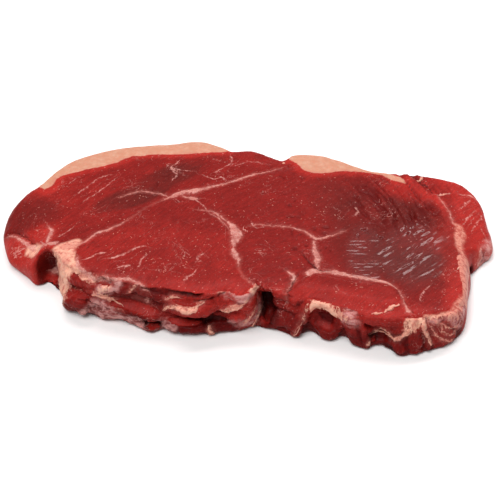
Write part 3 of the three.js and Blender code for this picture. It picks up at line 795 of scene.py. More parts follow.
# Where the lean is brighter than elsewhere, or duller below 0: how much, then an oval in plan.
BRIGHT_OVALS = [
    (0.2, -96, 22, 30, 24),
    (0.2, 16, 64, 34, 12),
    (0.3, 16, -40, 26, 22),
    (-0.3, 5, 10, 40, 26),
    (0.25, 104, -60, 22, 18),
    (0.6, 92, 34, 16, 10, 0.6),
    (-0.7, 98, -58, 18, 14),
    (-0.25, -30, -44, 50, 20),
    (-0.2, 20, -30, 26, 22),
    (-0.9, -124, 8, 16, 13, 0.6),
]
bloom_and_painted_light = sum(strength * inside_oval(*oval) for strength, *oval in BRIGHT_OVALS)
bloom_and_painted_light += 1.3 * ease(-x, 98, 122) * ease(-y, -8, 8) + 0.35 * ease(-x, 92, 122) + 2.2 * ease(x, 96, 116)
bloom_and_painted_light += 0.45 * is_front_left * ease(-y, -8, 30) + 0.8 * (1 - ease(-cap_depth, 1, 7))
bloom_and_painted_light += 0.4 * ease(-y, 52, 66) + 0.3 * ease(strip_depth, -1, 4) * (1 - ease(rim_distance, 2, 12))

# Where it has browned: how much, then an oval in plan with its softness and turn.
BROWN_OVALS = [
    (1.7, -65, 21, 22, 8.5, 0.3, 30),
    (1.2, -45, 42, 20, 9, 0.4, 30),
    (0.6, -122, 10, 15, 12, 0.6),
    (0.5, 58, 24, 20, 22),
]
browned = sum(strength * inside_oval(*oval) for strength, *oval in BROWN_OVALS)
not_far_right = 1 - ease(y + 0.3 * x, 42, 60)
browned += 1.1 * inside_oval(80, -12, 33, 42, 0.4) * not_far_right * ease(-strip_depth, 0, 3)
browned = np.clip(browned, 0, 1) * (0.85 + 0.35 * soft_noise(places, 13, 22))

# The ragged edge is darkened towards the table and between its rolls, partly the deeper red of its meat and
# partly painted shade, and more in these ovals of painted shade: place along the slice, height, half width,
# half height, and how much.
SHADE_OVALS = [
    (-56, 19, 19, 9, 0.7),
    (-107, 4, 9, 9, 0.6),
    (42, 7, 8, 5, 0.35),
    (-62, 11, 14, 5, 0.3),
    (-22, 5, 30, 6, 0.5),
]
shade = shaded_edge * (0.15 + 0.65 * ease(21 - z, 0, 15) + 0.5 * ease(0.9 - roll_height, 0, 0.9))
for across, height, wide, tall, depth in SHADE_OVALS:
    beyond = np.hypot((x - across) / wide, (z - height) / tall)
    shade += depth * (1 - ease(beyond, 0.5, 1.2)) * facing_out * (y < -14) * off_underside
# The pillar of the ragged edge gets less painted shade, and painted light brightens its face.
in_pillar = (1 - ease(np.hypot(x / 9, (z - 14) / 12), 0.6, 1.3)) * (x < 9) * shaded_edge
shade *= 1 - 0.85 * in_pillar
bloom_and_painted_light += 1.6 * in_pillar
shade *= 0.85 + 0.3 * soft_noise(places, 7, 23)
# Painted shade in the wrinkles of the far corner and in the pits of the lean.
crease_shade = np.maximum(far_corner * (1 - np.minimum(creases * 1.9, 1)), 0.8 * pits * up) * off_underside
keep_values("tone", np.clip(bloom_and_painted_light, 0, 1), np.clip(browned, 0, 1), np.clip(shade, 0, 1))
keep_values("fat", cap_depth, cream_depth, veil_depth)
keep_values("hollow_shade", hollow_shade * off_underside * (1 - 0.35 * in_arch), ease(x, 95, 108), shaded_edge)
keep_values("wet", glint * up, crease_shade)
keep_values("comb", ease(x, 26, 32) + 0.5 * ease(-x, 60, 66))

# Places along and across the fibres, so that the grain can follow each muscle.
BETWEEN_MUSCLES = 200  # sets the rear muscle's grain apart from the front ones'
turns = np.radians(np.where(is_rear, REAR_GRAIN, np.where(is_front_left, FRONT_LEFT_GRAIN, RIGHT_GRAIN)))
across_fibres = y * np.cos(turns) - x * np.sin(turns)
keep_values("grain", x * np.cos(turns) + y * np.sin(turns), across_fibres + BETWEEN_MUSCLES * is_rear, z)
flat_turn = math.radians(50)
along_right = x * math.cos(flat_turn) + y * math.sin(flat_turn)
across_right = y * math.cos(flat_turn) - x * math.sin(flat_turn)
keep_values("grain_right", along_right, across_right, ease(x, 36, 56))

for polygon in flesh.data.polygons:
    polygon.use_smooth = True


# ---- Raw meat: its colours and its wet shine ----
# Lean meat is a deep red that brightens where it has met the air and browns where it has met it longest.
# Fat is cream to peach, silverskin greyish pink. All of it is moist, most of all the sunken right muscle.
# Shade is painted into the hollows, gaps, creases and lower ragged edge, light onto the pillar of that edge,
# and highlights into some of the pale specks.
def link(tree, start, end):
    tree.links.new(start, end)


def maths(tree, operation, first, second=0.0, third=0.0, clamp=False):
    """A Math node on sockets or plain numbers."""
    node = tree.nodes.new("ShaderNodeMath")
    node.operation = operation
    node.use_clamp = clamp
    for socket, value in zip(node.inputs, (first, second, third)):
        if isinstance(value, bpy.types.NodeSocket):
            tree.links.new(value, socket)
        else:
            socket.default_value = value
    return node.outputs[0]


def blend_colour(tree, share, base, over, kind="MIX"):
    """Mixes one colour over another by a share."""
    node = tree.nodes.new("ShaderNodeMix")
    node.data_type = "RGBA"
    node.blend_type = kind
    for socket, value in ((node.inputs["Factor"], share), (node.inputs[6], base), (node.inputs[7], over)):
        if isinstance(value, bpy.types.NodeSocket):
            tree.links.new(value, socket)
        else:
            socket.default_value = value
    return node.outputs[2]


def soft_step(tree, value, low, high, out_low=0.0, out_high=1.0):
    """Maps low to out_low and high to out_high, smoothly and no further."""
    node = tree.nodes.new("ShaderNodeMapRange")
    node.interpolation_type = "SMOOTHSTEP"
    tree.links.new(value, node.inputs["Value"])
    for name, number in (("From Min", low), ("From Max", high), ("To Min", out_low), ("To Max", out_high)):
        node.inputs[name].default_value = number
    return node.outputs[0]


def kept_values(tree, name):
    """The three values kept on the surface under a name."""
    read = tree.nodes.new("ShaderNodeAttribute")
    read.attribute_name = name
    parts = tree.nodes.new("ShaderNodeSeparateXYZ")
    tree.links.new(read.outputs["Vector"], parts.inputs[0])
    return read.outputs["Vector"], parts.outputs


def pattern(tree, kind, place, scale, stretch=(1, 1, 1), **inputs):
    """A noise or Voronoi pattern on a place, stretched, and its first output."""
    spread = tree.nodes.new("ShaderNodeMapping")
    spread.inputs["Scale"].default_value = stretch
    tree.links.new(place, spread.inputs["Vector"])
    node = tree.nodes.new(kind)
    tree.links.new(spread.outputs[0], node.inputs["Vector"])
    node.inputs["Scale"].default_value = scale
    for name, value in inputs.items():
        node.inputs[name.replace("_", " ")].default_value = value
    return node.outputs[0]


def place_in_millimetres(tree):
    """The place on the piece, in millimetres."""
    coordinates = tree.nodes.new("ShaderNodeTexCoord")
    millimetres = tree.nodes.new("ShaderNodeVectorMath")
    millimetres.operation = "SCALE"
    millimetres.inputs["Scale"].default_value = 1 / MM
    link(tree, coordinates.outputs["Object"], millimetres.inputs[0])
    return millimetres.outputs[0]


def raise_bumps(tree, shader, height, strength, distance):
    """Fine relief from a pattern, on the shader's normal."""
    bump = tree.nodes.new("ShaderNodeBump")
    bump.inputs["Strength"].default_value = strength
    bump.inputs["Distance"].default_value = distance
    link(tree, height, bump.inputs["Height"])
    link(tree, bump.outputs[0], shader.inputs["Normal"])


def line_masks(tree, name, fray, shift, soft=0.3):
    """1 on the lines of a layer, shifted and with frayed sides, and a faint veil around them."""
    _, (signed, half, _) = kept_values(tree, name)
    past = maths(tree, "SUBTRACT", maths(tree, "ABSOLUTE", maths(tree, "ADD", signed, shift)), half)
    frayed = maths(tree, "ADD", past, fray)
    return soft_step(tree, frayed, -soft, soft, 1, 0), soft_step(tree, frayed, -0.4, 2.2, 1, 0)


LEAN_RED = (0.184, 0.0090, 0.0074, 1)
BLOOMED_RED = (0.345, 0.0190, 0.0145, 1)
BROWNED = (0.095, 0.0095, 0.0076, 1)
# Painted shade colour for the lower ragged edge, its creases and its pits.
PAINTED_SHADE_MAROON = (0.085, 0.0022, 0.0020, 1)
CAP_FAT = (0.495, 0.228, 0.147, 1)
CAP_FAT_PALE = (0.545, 0.296, 0.208, 1)
CREAM_FAT = (0.78, 0.430, 0.310, 1)
PINK_FAT = (0.58, 0.200, 0.155, 1)
SEAM_FAT = (0.49, 0.175, 0.145, 1)
PALE_SEAM = (0.65, 0.370, 0.325, 1)
SILVER = (0.54, 0.255, 0.235, 1)
FLECK = (0.62, 0.30, 0.26, 1)
# Painted shade colour for the hollows.
HOLLOW_SHADE = (0.040, 0.0015, 0.0013, 1)
# Painted shade colour for the gaps and creases.
GAP_SHADE = (0.045, 0.0025, 0.0022, 1)

# Soft fat as a group, for the meat and for the loose strands: cream, pink where blood has tinted it.
soft_fat_effect = bpy.data.node_groups.new("soft_fat", "ShaderNodeTree")
soft_fat_effect.interface.new_socket("Place", in_out="INPUT", socket_type="NodeSocketVector")
soft_fat_effect.interface.new_socket("Pinkness", in_out="INPUT", socket_type="NodeSocketFloat")
soft_fat_effect.interface.new_socket("Colour", in_out="OUTPUT", socket_type="NodeSocketColor")
tree = soft_fat_effect
given = tree.nodes.new("NodeGroupInput")
tint = pattern(tree, "ShaderNodeTexNoise", given.outputs["Place"], 0.22, Detail=5, Roughness=0.65)
threads = pattern(
    tree, "ShaderNodeTexNoise", given.outputs["Place"], 0.42, (1, 1, 0.35),
    Detail=4, Roughness=0.6, Distortion=0.8,
)
pinkness = maths(tree, "MAXIMUM", soft_step(tree, tint, 0.42, 0.66, 0.0, 0.75),
                 maths(tree, "MULTIPLY", given.outputs["Pinkness"], 0.75))
tinted = blend_colour(tree, pinkness, CREAM_FAT, PINK_FAT)
red_threads = maths(tree, "MULTIPLY", soft_step(tree, threads, 0.45, 0.62, 0.0, 0.9), pinkness)
tinted = blend_colour(tree, red_threads, tinted, BLOOMED_RED)
given_out = tree.nodes.new("NodeGroupOutput")
link(tree, tinted, given_out.inputs["Colour"])

raw_meat = bpy.data.materials.new("raw_meat")
raw_meat.use_nodes = True
tree = raw_meat.node_tree
shader = tree.nodes["Principled BSDF"]
spot = place_in_millimetres(tree)

# Grain: fibre bundles drawn out along each muscle, light and dark.
grain_place, _ = kept_values(tree, "grain")
right_place, (_, _, right_share) = kept_values(tree, "grain_right")
bundles = pattern(tree, "ShaderNodeTexNoise", grain_place, 0.9, (0.16, 1, 0.6), Detail=5, Roughness=0.62)
right_bundles = pattern(
    tree, "ShaderNodeTexNoise", right_place, 0.8, (0.14, 1, 0.1), Detail=5, Roughness=0.62
)
mixed_bundles = tree.nodes.new("ShaderNodeMix")
link(tree, right_share, mixed_bundles.inputs["Factor"])
link(tree, bundles, mixed_bundles.inputs[2])
link(tree, right_bundles, mixed_bundles.inputs[3])
bundle = mixed_bundles.outputs[0]
mottle = pattern(tree, "ShaderNodeTexNoise", spot, 0.11, Detail=4, Roughness=0.6)
speckle = pattern(tree, "ShaderNodeTexNoise", spot, 1.9, Detail=3, Roughness=0.75)
patches = pattern(tree, "ShaderNodeTexNoise", spot, 0.55, Detail=3, Roughness=0.6)
fray_noise = maths(tree, "MULTIPLY_ADD", speckle, 1.5, -0.75)
fray_noise = maths(tree, "ADD", fray_noise, maths(tree, "MULTIPLY_ADD", patches, 1.2, -0.6))
jitter = pattern(tree, "ShaderNodeTexNoise", spot, 0.62, (0.9, 1.1, 1), Detail=4, Roughness=0.62)
shift = maths(tree, "MULTIPLY_ADD", jitter, 3.4, -1.7)

_, (bloom_and_light_share, brown_share, shade_share) = kept_values(tree, "tone")
uneven = maths(tree, "MULTIPLY_ADD", mottle, 0.9, -0.45)
# Bloomed red where the meat has met the air, with painted light on the pillar of the ragged edge.
lean_colour = blend_colour(tree, maths(tree, "ADD", bloom_and_light_share, uneven, clamp=True), LEAN_RED, BLOOMED_RED)
lean_colour = blend_colour(tree, maths(tree, "MULTIPLY", brown_share, 0.85), lean_colour, BROWNED)
# Painted shade on the lower ragged edge and between its rolls, over the deeper red of its meat.
lean_colour = blend_colour(tree, shade_share, lean_colour, PAINTED_SHADE_MAROON)
grain_light = soft_step(tree, bundle, 0.30, 0.72, 0.84, 1.18)
lean_colour = blend_colour(tree, 1.0, lean_colour, grain_light, "MULTIPLY")
speckle_light = soft_step(tree, speckle, 0.32, 0.72, 0.80, 1.26)
lean_colour = blend_colour(tree, 1.0, lean_colour, speckle_light, "MULTIPLY")

_, (wet_share, crease_shade_share, _) = kept_values(tree, "wet")
# Painted shade in the wrinkles and pits.
lean_colour = blend_colour(tree, maths(tree, "MULTIPLY", crease_shade_share, 0.85), lean_colour, PAINTED_SHADE_MAROON)

# Marbling and painted sparkle: short pale dashes along the grain, and dots, partly fat and partly painted
# highlights for the glints of the wet surface.
dashes = pattern(tree, "ShaderNodeTexVoronoi", grain_place, 0.42, (0.30, 1, 1.3), Randomness=1.0)
dash_breaks = pattern(tree, "ShaderNodeTexNoise", spot, 0.16, Detail=2)
dash_breaks = soft_step(tree, dash_breaks, 0.46, 0.60)
dash_mask = maths(tree, "MULTIPLY", soft_step(tree, dashes, 0.03, 0.12, 1, 0), dash_breaks)
dots = pattern(tree, "ShaderNodeTexVoronoi", spot, 0.30, Randomness=1.0)
dotted_places = soft_step(tree, mottle, 0.40, 0.60)
dot_and_sparkle_mask = maths(tree, "MULTIPLY", soft_step(tree, dots, 0.06, 0.13, 1, 0), dotted_places)
grit = pattern(tree, "ShaderNodeTexVoronoi", spot, 0.85, Randomness=1.0)
gritty_places = soft_step(tree, patches, 0.48, 0.60)
grit_and_sparkle_mask = maths(tree, "MULTIPLY", soft_step(tree, grit, 0.10, 0.24, 0.5, 0), gritty_places)
dot_and_sparkle_mask = maths(tree, "MAXIMUM", dot_and_sparkle_mask, grit_and_sparkle_mask)
fleck_and_sparkle_mask = maths(tree, "MAXIMUM", dash_mask, dot_and_sparkle_mask)
fleck_and_sparkle_mask = maths(tree, "MULTIPLY", fleck_and_sparkle_mask, maths(tree, "MULTIPLY_ADD", shade_share, -0.8, 1.0))
lean_colour = blend_colour(tree, maths(tree, "MULTIPLY", fleck_and_sparkle_mask, 0.62), lean_colour, FLECK)

# Hair-thin veins that wander through the lean here and there.
web = pattern(tree, "ShaderNodeTexNoise", spot, 0.105, Detail=3, Roughness=0.55, Distortion=0.9)
web_line = soft_step(tree, maths(tree, "ABSOLUTE", maths(tree, "SUBTRACT", web, 0.5)), 0.001, 0.009, 1, 0)
web_places = soft_step(tree, pattern(tree, "ShaderNodeTexNoise", spot, 0.045, Detail=1), 0.52, 0.66)
web_mask = maths(tree, "MULTIPLY", web_line, web_places)
web_mask = maths(tree, "MULTIPLY", web_mask, soft_step(tree, speckle, 0.4, 0.55))
lean_colour = blend_colour(tree, maths(tree, "MULTIPLY", web_mask, 0.6), lean_colour, FLECK)

# Fat in seams, strands and areas.
seam_tint = maths(tree, "ADD", maths(tree, "MULTIPLY", speckle, 0.6), maths(tree, "MULTIPLY", patches, 0.4))
seam_colour = blend_colour(tree, soft_step(tree, seam_tint, 0.44, 0.62), SEAM_FAT, PALE_SEAM)
fat_tint = pattern(tree, "ShaderNodeTexNoise", spot, 0.22, Detail=5, Roughness=0.65)
fat_break = soft_step(tree, fat_tint, 0.34, 0.56, 0.35, 1.0)
vein_mask, _ = line_masks(tree, "vein", fray_noise, shift, 0.35)
vein_breaks = pattern(tree, "ShaderNodeTexNoise", spot, 0.33, Detail=3, Roughness=0.7)
vein_mask = maths(tree, "MULTIPLY", vein_mask, soft_step(tree, vein_breaks, 0.40, 0.56, 0.15, 1.0))
seam_one, veil_one = line_masks(tree, "seam_one", fray_noise, shift)
seam_two, veil_two = line_masks(tree, "seam_two", fray_noise, shift)
edge_one, edge_veil_one = line_masks(tree, "edge_one", fray_noise, shift)
edge_two, edge_veil_two = line_masks(tree, "edge_two", fray_noise, shift)
seam_mask = maths(tree, "MULTIPLY", maths(tree, "MAXIMUM", seam_one, seam_two), fat_break)
edge_mask = maths(tree, "MULTIPLY", maths(tree, "MAXIMUM", edge_one, edge_two), fat_break)
edge_veil = maths(tree, "MAXIMUM", edge_veil_one, edge_veil_two)
veil_mask = maths(tree, "MAXIMUM", maths(tree, "MAXIMUM", veil_one, veil_two), edge_veil)
_, (cap_place, cream_place, skin_place) = kept_values(tree, "fat")
_, (hollow_shade_share, pink_share, ragged_share) = kept_values(tree, "hollow_shade")
_, (comb_share, _, _) = kept_values(tree, "comb")
wide_fray = maths(tree, "ADD", maths(tree, "MULTIPLY_ADD", mottle, 2.4, -1.2), fray_noise)
cap_fray = maths(tree, "MULTIPLY", wide_fray, 0.6)
cap_mask = soft_step(tree, maths(tree, "ADD", cap_place, cap_fray), -0.4, 0.5)
cap_flush = soft_step(tree, maths(tree, "ADD", cap_place, wide_fray), 0.3, 2.6, 0.5, 0.0)
comb = pattern(tree, "ShaderNodeTexNoise", spot, 0.75, (1, 1, 0.10), Detail=2, Roughness=0.6)
combed_places = maths(tree, "MULTIPLY", ragged_share, comb_share)
comb = maths(tree, "MULTIPLY", maths(tree, "MULTIPLY_ADD", comb, 11.0, -5.8), combed_places)
cream_mask = soft_step(tree, maths(tree, "ADD", maths(tree, "ADD", cream_place, wide_fray), comb), -1.0, 1.4)
threads_of_skin = pattern(tree, "ShaderNodeTexNoise", spot, 0.30, (0.6, 1, 1), Detail=5, Roughness=0.7)
skin_mask = soft_step(tree, maths(tree, "ADD", skin_place, wide_fray), -1.5, 2.0)
skin_streaks = soft_step(tree, threads_of_skin, 0.38, 0.62, 0.95, 0.12)

cap_colour = blend_colour(tree, soft_step(tree, fat_tint, 0.4, 0.72), CAP_FAT, CAP_FAT_PALE)
cap_flush = maths(tree, "MULTIPLY", cap_flush, soft_step(tree, fat_tint, 0.3, 0.6, 1, 0.3))
cap_colour = blend_colour(tree, cap_flush, cap_colour, SEAM_FAT)
colour = blend_colour(tree, maths(tree, "MULTIPLY", veil_mask, 0.22), lean_colour, SEAM_FAT)
colour = blend_colour(tree, maths(tree, "MULTIPLY", vein_mask, 0.75), colour, FLECK)
colour = blend_colour(tree, maths(tree, "MULTIPLY", skin_mask, skin_streaks), colour, SILVER)
soft_fat = tree.nodes.new("ShaderNodeGroup")
soft_fat.node_tree = soft_fat_effect
link(tree, spot, soft_fat.inputs["Place"])
link(tree, pink_share, soft_fat.inputs["Pinkness"])
cream = soft_fat.outputs["Colour"]
colour = blend_colour(tree, maths(tree, "MULTIPLY", cream_mask, 0.92), colour, cream)
colour = blend_colour(tree, maths(tree, "MULTIPLY", seam_mask, 0.9), colour, seam_colour)
edge_colour = blend_colour(tree, soft_step(tree, patches, 0.4, 0.62), PINK_FAT, CREAM_FAT)
colour = blend_colour(tree, maths(tree, "MULTIPLY", edge_mask, 0.9), colour, edge_colour)
colour = blend_colour(tree, cap_mask, colour, cap_colour)
# Painted shade deep in the hollows.
colour = blend_colour(tree, maths(tree, "MULTIPLY", hollow_shade_share, 0.9), colour, HOLLOW_SHADE)
# Painted shade along the gaps between the rolls and in the creases.
gap_one, _ = line_masks(tree, "edge_gap", fray_noise, shift, 0.6)
gap_two, _ = line_masks(tree, "crease", fray_noise, shift, 0.5)
gap_shade_mask = maths(tree, "MULTIPLY", maths(tree, "MAXIMUM", gap_one, gap_two), 0.8)
colour = blend_colour(tree, gap_shade_mask, colour, GAP_SHADE)
link(tree, colour, shader.inputs["Base Color"])

# Moisture: the sunken muscle is wettest, fat and the browned parts are duller.
film = pattern(tree, "ShaderNodeTexNoise", spot, 0.35, Detail=3, Roughness=0.6)
rough = soft_step(tree, film, 0.3, 0.7, 0.36, 0.52)
rough = maths(tree, "SUBTRACT", rough, maths(tree, "MULTIPLY", wet_share, 0.10))
link(tree, rough, shader.inputs["Roughness"])
wetness = maths(tree, "ADD", wet_share, maths(tree, "MULTIPLY", film, 0.3))
link(tree, soft_step(tree, wetness, 0.2, 1.0, 0.03, 1.0), shader.inputs["Coat Weight"])
shader.inputs["Coat Roughness"].default_value = 0.12
shader.inputs["Coat IOR"].default_value = 1.33
shader.inputs["Specular IOR Level"].default_value = 0.11

fine_fibre = pattern(tree, "ShaderNodeTexNoise", grain_place, 2.2, (0.2, 1, 1), Detail=3, Roughness=0.6)
height = maths(tree, "ADD", maths(tree, "MULTIPLY", bundle, 0.5), maths(tree, "MULTIPLY", fine_fibre, 0.3))
height = maths(tree, "ADD", height, maths(tree, "MULTIPLY", speckle, 0.35))
raise_bumps(tree, shader, height, 0.55, 0.45 * MM)
shader.inputs["Subsurface Weight"].default_value = 0.12
shader.inputs["Subsurface Radius"].default_value = (1.0, 0.22, 0.16)
shader.inputs["Subsurface Scale"].default_value = 2.2 * MM
shader.inputs["IOR"].default_value = 1.38
flesh.data.materials.clear()
flesh.data.materials.append(raw_meat)
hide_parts("steak")
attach(flesh, "root")


# ---- Loose strands and nodules of fat ----
# Where the knife and the butcher's hand pulled the muscles apart, strings of fat hang along the torn edge
# and small knobs of it stand at the rim. They are the same soft fat as in the seams, and grow from the meat.
def new_tool(name, *sizes):
    """An empty Geometry Nodes tree with a Geometry input and output, and more named inputs."""
    tool = bpy.data.node_groups.new(name, "GeometryNodeTree")
    tool.interface.new_socket("Geometry", in_out="INPUT", socket_type="NodeSocketGeometry")
    for label, kind, value in sizes:
        socket = tool.interface.new_socket(label, in_out="INPUT", socket_type="NodeSocket" + kind)
        if value is not None:
            socket.default_value = value
    tool.interface.new_socket("Geometry", in_out="OUTPUT", socket_type="NodeSocketGeometry")
    return tool


def place_node(tool, kind, settings=None, **sockets):
    """A node with its settings. Each input, by its name or as _0 by its number, gets a value or a link."""
    node = tool.nodes.new(kind)
    for key, value in (settings or {}).items():
        setattr(node, key, value)
    for name, value in sockets.items():
        socket = node.inputs[int(name[1:])] if name[1:].isdigit() else node.inputs[name.replace("_", " ")]
        if isinstance(value, bpy.types.Node):
            value = value.outputs[0]
        if isinstance(value, bpy.types.NodeSocket):
            tool.links.new(value, socket)
        else:
            socket.default_value = value
    return node


def named_value(tool, name):
    """The value that the mesh keeps under a name."""
    return place_node(tool, "GeometryNodeInputNamedAttribute", {"data_type": "FLOAT"}, Name=name)


def grow(obj, tool, **values):
    """Runs a tool on an object, and leaves its result as the object's plain mesh."""
    modifier = obj.modifiers.new(tool.name, "NODES")
    modifier.node_group = tool
    for item in tool.interface.items_tree:
        if item.item_type == "SOCKET" and item.in_out == "INPUT" and item.name in values:
            modifier[item.identifier] = values[item.name]
    keep_only(obj, evaluated_mesh(obj))


def moist_fat(name, pinkness, grain_size):
    """Soft fat, tinted by blood as far as its pinkness, with a fine grain and an uneven moist shine."""
    material = bpy.data.materials.new(name)
    material.use_nodes = True
    tree = material.node_tree
    shader = tree.nodes["Principled BSDF"]
    spot = place_in_millimetres(tree)
    soft_fat = tree.nodes.new("ShaderNodeGroup")
    soft_fat.node_tree = soft_fat_effect
    link(tree, spot, soft_fat.inputs["Place"])
    soft_fat.inputs["Pinkness"].default_value = pinkness
    link(tree, soft_fat.outputs["Colour"], shader.inputs["Base Color"])
    grain = pattern(tree, "ShaderNodeTexNoise", spot, 1 / grain_size, Detail=3, Roughness=0.6)
    raise_bumps(tree, shader, grain, 0.4, 0.3 * MM)
    link(tree, soft_step(tree, grain, 0.3, 0.7, 0.34, 0.50), shader.inputs["Roughness"])
    shader.inputs["Subsurface Weight"].default_value = 0.15
    shader.inputs["Subsurface Radius"].default_value = (1.0, 0.45, 0.3)
    shader.inputs["Subsurface Scale"].default_value = 1.5 * MM
    shader.inputs["Specular IOR Level"].default_value = 0.2
    return material


loose_fat = moist_fat("loose_fat", 0.55, 0.6)

# A strand follows a line over the meat, flattened onto it and uneven in girth.
WAVER = 2.4 * MM
strand_tool = new_tool(
    "strand", ("Meat", "Object", None), ("Step", "Float", 0.5 * MM), ("Unevenness", "Float", 0.35 * MM),
    ("Sunk", "Float", 0.35), ("Fat", "Material", None),
)
add = partial(place_node, strand_tool)
given = add("NodeGroupInput")
here = add("GeometryNodeInputPosition")
meat = add("GeometryNodeObjectInfo", {"transform_space": "RELATIVE"}, Object=given.outputs["Meat"])
onto = add("GeometryNodeProximity", {"target_element": "FACES"}, _0=meat.outputs["Geometry"])
line = add("GeometryNodeMeshToCurve", _0=given.outputs["Geometry"])
line = add("GeometryNodeResampleCurve", {"mode": "LENGTH"}, Curve=line, Length=given.outputs["Step"])
waver = add("ShaderNodeTexNoise", Vector=here, Scale=420.0, Detail=2.0)
waver = add("ShaderNodeVectorMath", {"operation": "SUBTRACT"}, _0=waver.outputs["Color"], _1=(0.5, 0.5, 0.5))
waver = add("ShaderNodeVectorMath", {"operation": "SCALE"}, _0=waver, Scale=WAVER)
line = add("GeometryNodeSetPosition", Geometry=line, Offset=waver)
line = add("GeometryNodeSetPosition", Geometry=line, Position=onto.outputs["Position"])
ring = add("GeometryNodeCurvePrimitiveCircle", {"mode": "RADIUS"}, Resolution=8, Radius=1.0)
thickness = add("ShaderNodeTexNoise", Vector=here, Scale=650.0, Detail=2.0)
thickness = add("ShaderNodeMapRange", Value=thickness, From_Min=0.3, From_Max=0.7, To_Min=0.35, To_Max=1.45)
girth = add("ShaderNodeMath", {"operation": "MULTIPLY"}, _0=named_value(strand_tool, "girth"), _1=thickness)
tube = add("GeometryNodeCurveToMesh", Curve=line, Profile_Curve=ring, Scale=girth, Fill_Caps=True)
flatter = add("ShaderNodeVectorMath", {"operation": "SUBTRACT"}, _0=onto.outputs["Position"], _1=here)
flatter = add("ShaderNodeVectorMath", {"operation": "SCALE"}, _0=flatter, Scale=given.outputs["Sunk"])
lumps = add("ShaderNodeTexNoise", Vector=here, Scale=900.0, Detail=2.0)
lumps = add("ShaderNodeMath", {"operation": "MULTIPLY_ADD"}, _0=lumps, _1=2.0, _2=-1.0)
lumps = add("ShaderNodeMath", {"operation": "MULTIPLY"}, _0=lumps, _1=given.outputs["Unevenness"])
lumps = add("ShaderNodeVectorMath", {"operation": "SCALE"}, _0=add("GeometryNodeInputNormal"), Scale=lumps)
shift_of_skin = add("ShaderNodeVectorMath", {"operation": "ADD"}, _0=flatter, _1=lumps)
tube = add("GeometryNodeSetPosition", Geometry=tube, Offset=shift_of_skin)
tube = add("GeometryNodeSetShadeSmooth", _0=tube)
tube = add("GeometryNodeRealizeInstances", _0=tube)
tube = add("GeometryNodeSetMaterial", Geometry=tube, Material=given.outputs["Fat"])
add("NodeGroupOutput", Geometry=tube)

# Strands on the torn edge, along the slice and up, and girths; then knobs in plan.
STRANDS = [
    (
        [(-43, 14.5), (-40, 18.2), (-34.5, 19.6), (-30.4, 18.8), (-26.8, 20), (-22, 22.4)],
        [0.2, 0.4, 0.8, 1.1, 0.7, 0.2],
    ),
    ([(-42, 21.5), (-39, 22.4), (-35, 22.6)], [0.15, 0.3, 0.2]),
    ([(-78, 19), (-74, 16.5), (-70, 14), (-65, 11.5)], [0.3, 0.5, 0.4, 0.2]),
    ([(-14, 16), (-10, 15.8), (-6, 18.5), (-3, 21)], [0.4, 1.5, 1.1, 0.4]),
    (
        [(82, 16), (80, 12.5), (77, 9.8), (74, 8.6), (71, 8.3), (67, 8), (64, 6)],
        [0.5, 0.7, 0.6, 0.7, 0.5, 0.5, 0.3],
    ),
    ([(28, 10), (27, 7.5), (25.5, 4.5), (24.5, 2)], [0.1, 0.2, 0.2, 0.2]),
    ([(89, 18), (90.5, 13), (92.5, 8), (95, 4)], [0.9, 0.6, 0.5, 0.3]),
    ([(-20.5, 6), (-19, 2.5)], [0.5, 0.8]),
    ([(7, 10), (4, 5), (2, 1.5)], [0.4, 0.35, 0.3]),
]
KNOBS = [
    ([(112, -36), (112.6, -36.4)], [1.1, 1.0]),
    ([(98, 44), (99.5, 44.5), (101.5, 46)], [0.9, 1.1, 0.8]),
    ([(20.5, 57.5), (21.5, 58.5)], [1.1, 1.3]),
    ([(109, 29.6), (112, 30.2), (114.5, 31)], [0.3, 0.7, 0.3]),
    ([(63, -76.6), (66, -76.2), (69, -76)], [0.3, 0.8, 0.3]),
    ([(69.5, -75.4), (73, -73), (77.6, -71)], [0.4, 1.3, 0.5]),
]
BEFORE_THE_MEAT = -0.2
ABOVE_THE_MEAT = 0.1
skin = bvhtree.BVHTree.FromPolygons(
    [v.co.copy() for v in flesh.data.vertices], [tuple(p.vertices) for p in flesh.data.polygons]
)
strand_points, strand_edges, strand_girths = [], [], []
for lines, on_torn_edge in ((STRANDS, True), (KNOBS, False)):
    for points, girths in lines:
        route = smooth_line(points, 0.8)
        widths = np.interp(np.linspace(0, 1, len(route)), np.linspace(0, 1, len(girths)), girths)
        first = len(strand_points)
        for (a, b), width in zip(route * MM, widths):
            if on_torn_edge:
                met, _, _, _ = skin.ray_cast(Vector((a, BEFORE_THE_MEAT, b)), Vector((0, 1, 0)))
            else:
                met, _, _, _ = skin.ray_cast(Vector((a, b, ABOVE_THE_MEAT)), Vector((0, 0, -1)))
            if met is not None:
                strand_points.append(met)
                strand_girths.append(width * MM)
        strand_edges += [(k, k + 1) for k in range(first, len(strand_points) - 1)]
strand_mesh = bpy.data.meshes.new("fat_strands")
strand_mesh.from_pydata(strand_points, strand_edges, [])
strand_mesh.attributes.new("girth", "FLOAT", "POINT").data.foreach_set("value", strand_girths)
fat_strands = bpy.data.objects.new("fat_strands", strand_mesh)
bpy.context.scene.collection.objects.link(fat_strands)
grow(fat_strands, strand_tool, Meat=flesh, Fat=loose_fat)
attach(fat_strands, "root")


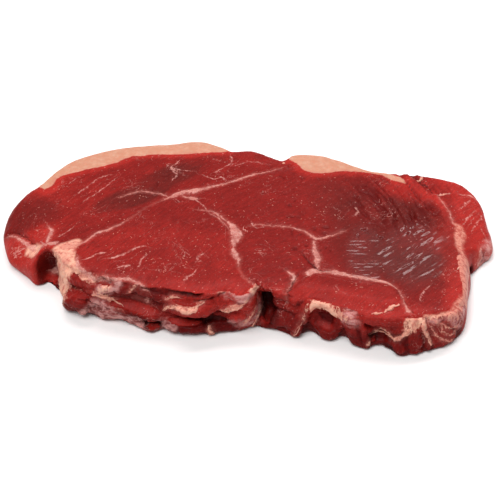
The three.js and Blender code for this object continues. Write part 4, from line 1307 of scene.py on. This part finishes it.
# ---- Marbling ----
# Grains of fat lie between the fibres of the lean meat. The knife cuts through them, so they show as short
# pale dashes along the grain, flush with the cut face or a little proud of it.
MARBLING_SIZE = 0.275 * MM
MARBLING_DENSITY = 36000.0  # grains to a square metre where the marbling is richest
ABOVE_THE_EDGE = 15  # millimetres
cluster = 0.12 + ease(soft_noise(places, 15, 50) + 0.6 * soft_noise(places, 5, 51), 0.0, 0.9)
in_lean = ease(normals[:, 2], 0.86, 0.97) * ease(lean, 0.9, 1) * (1 - 0.9 * sunk)
in_lean = in_lean * (z > ABOVE_THE_EDGE) * ease(-cap_depth, 2, 5)
marbled = (cluster * in_lean).astype(np.float32)
cut_fat = moist_fat("cut_fat", 1.0, 0.4)
marbling = bpy.data.objects.new("marbling", flesh.data.copy())
bpy.context.scene.collection.objects.link(marbling)
marbling.data.attributes.new("marbled", "FLOAT", "POINT").data.foreach_set("value", marbled)
marbling.data.attributes.new("turned", "FLOAT", "POINT").data.foreach_set("value", turns.astype(np.float32))
marbling_tool = new_tool(
    "marbling", ("Grain", "Float", MARBLING_SIZE), ("How Many", "Float", MARBLING_DENSITY),
    ("Seed", "Int", 7), ("Fat", "Material", None),
)
add = partial(place_node, marbling_tool)
given = add("NodeGroupInput")
marbled_share = named_value(marbling_tool, "marbled")
spread = add("ShaderNodeMath", {"operation": "MULTIPLY"}, _0=marbled_share, _1=given.outputs["How Many"])
spots_of_fat = add(
    "GeometryNodeDistributePointsOnFaces",
    Mesh=given.outputs["Geometry"], Density=spread, Seed=given.outputs["Seed"],
)
ball = add("GeometryNodeMeshIcoSphere", Radius=given.outputs["Grain"], Subdivisions=1)
jitter_turn = add("FunctionNodeRandomValue", {"data_type": "FLOAT"}, _2=-0.5, _3=0.5, Seed=3)
turn = named_value(marbling_tool, "turned")
turn = add("ShaderNodeMath", {"operation": "ADD"}, _0=turn, _1=jitter_turn.outputs[1])
turn = add("ShaderNodeCombineXYZ", Z=turn)
turn = add("FunctionNodeEulerToRotation", Euler=turn)
turn = add(
    "FunctionNodeRotateRotation", {"rotation_space": "LOCAL"},
    Rotation=spots_of_fat.outputs["Rotation"], Rotate_By=turn,
)
drawn_out = add(
    "FunctionNodeRandomValue", {"data_type": "FLOAT_VECTOR"},
    _0=(0.6, 0.45, 0.5), _1=(3.0, 0.95, 0.7), Seed=5,
)
grains = add(
    "GeometryNodeInstanceOnPoints", Points=spots_of_fat.outputs["Points"], Instance=ball, Rotation=turn,
    Scale=drawn_out,
)
grains = add("GeometryNodeRealizeInstances", _0=grains)
grains = add("GeometryNodeSetShadeSmooth", _0=grains)
grains = add("GeometryNodeSetMaterial", Geometry=grains, Material=given.outputs["Fat"])
add("NodeGroupOutput", Geometry=grains)
grow(marbling, marbling_tool, Fat=cut_fat)
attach(marbling, "root")
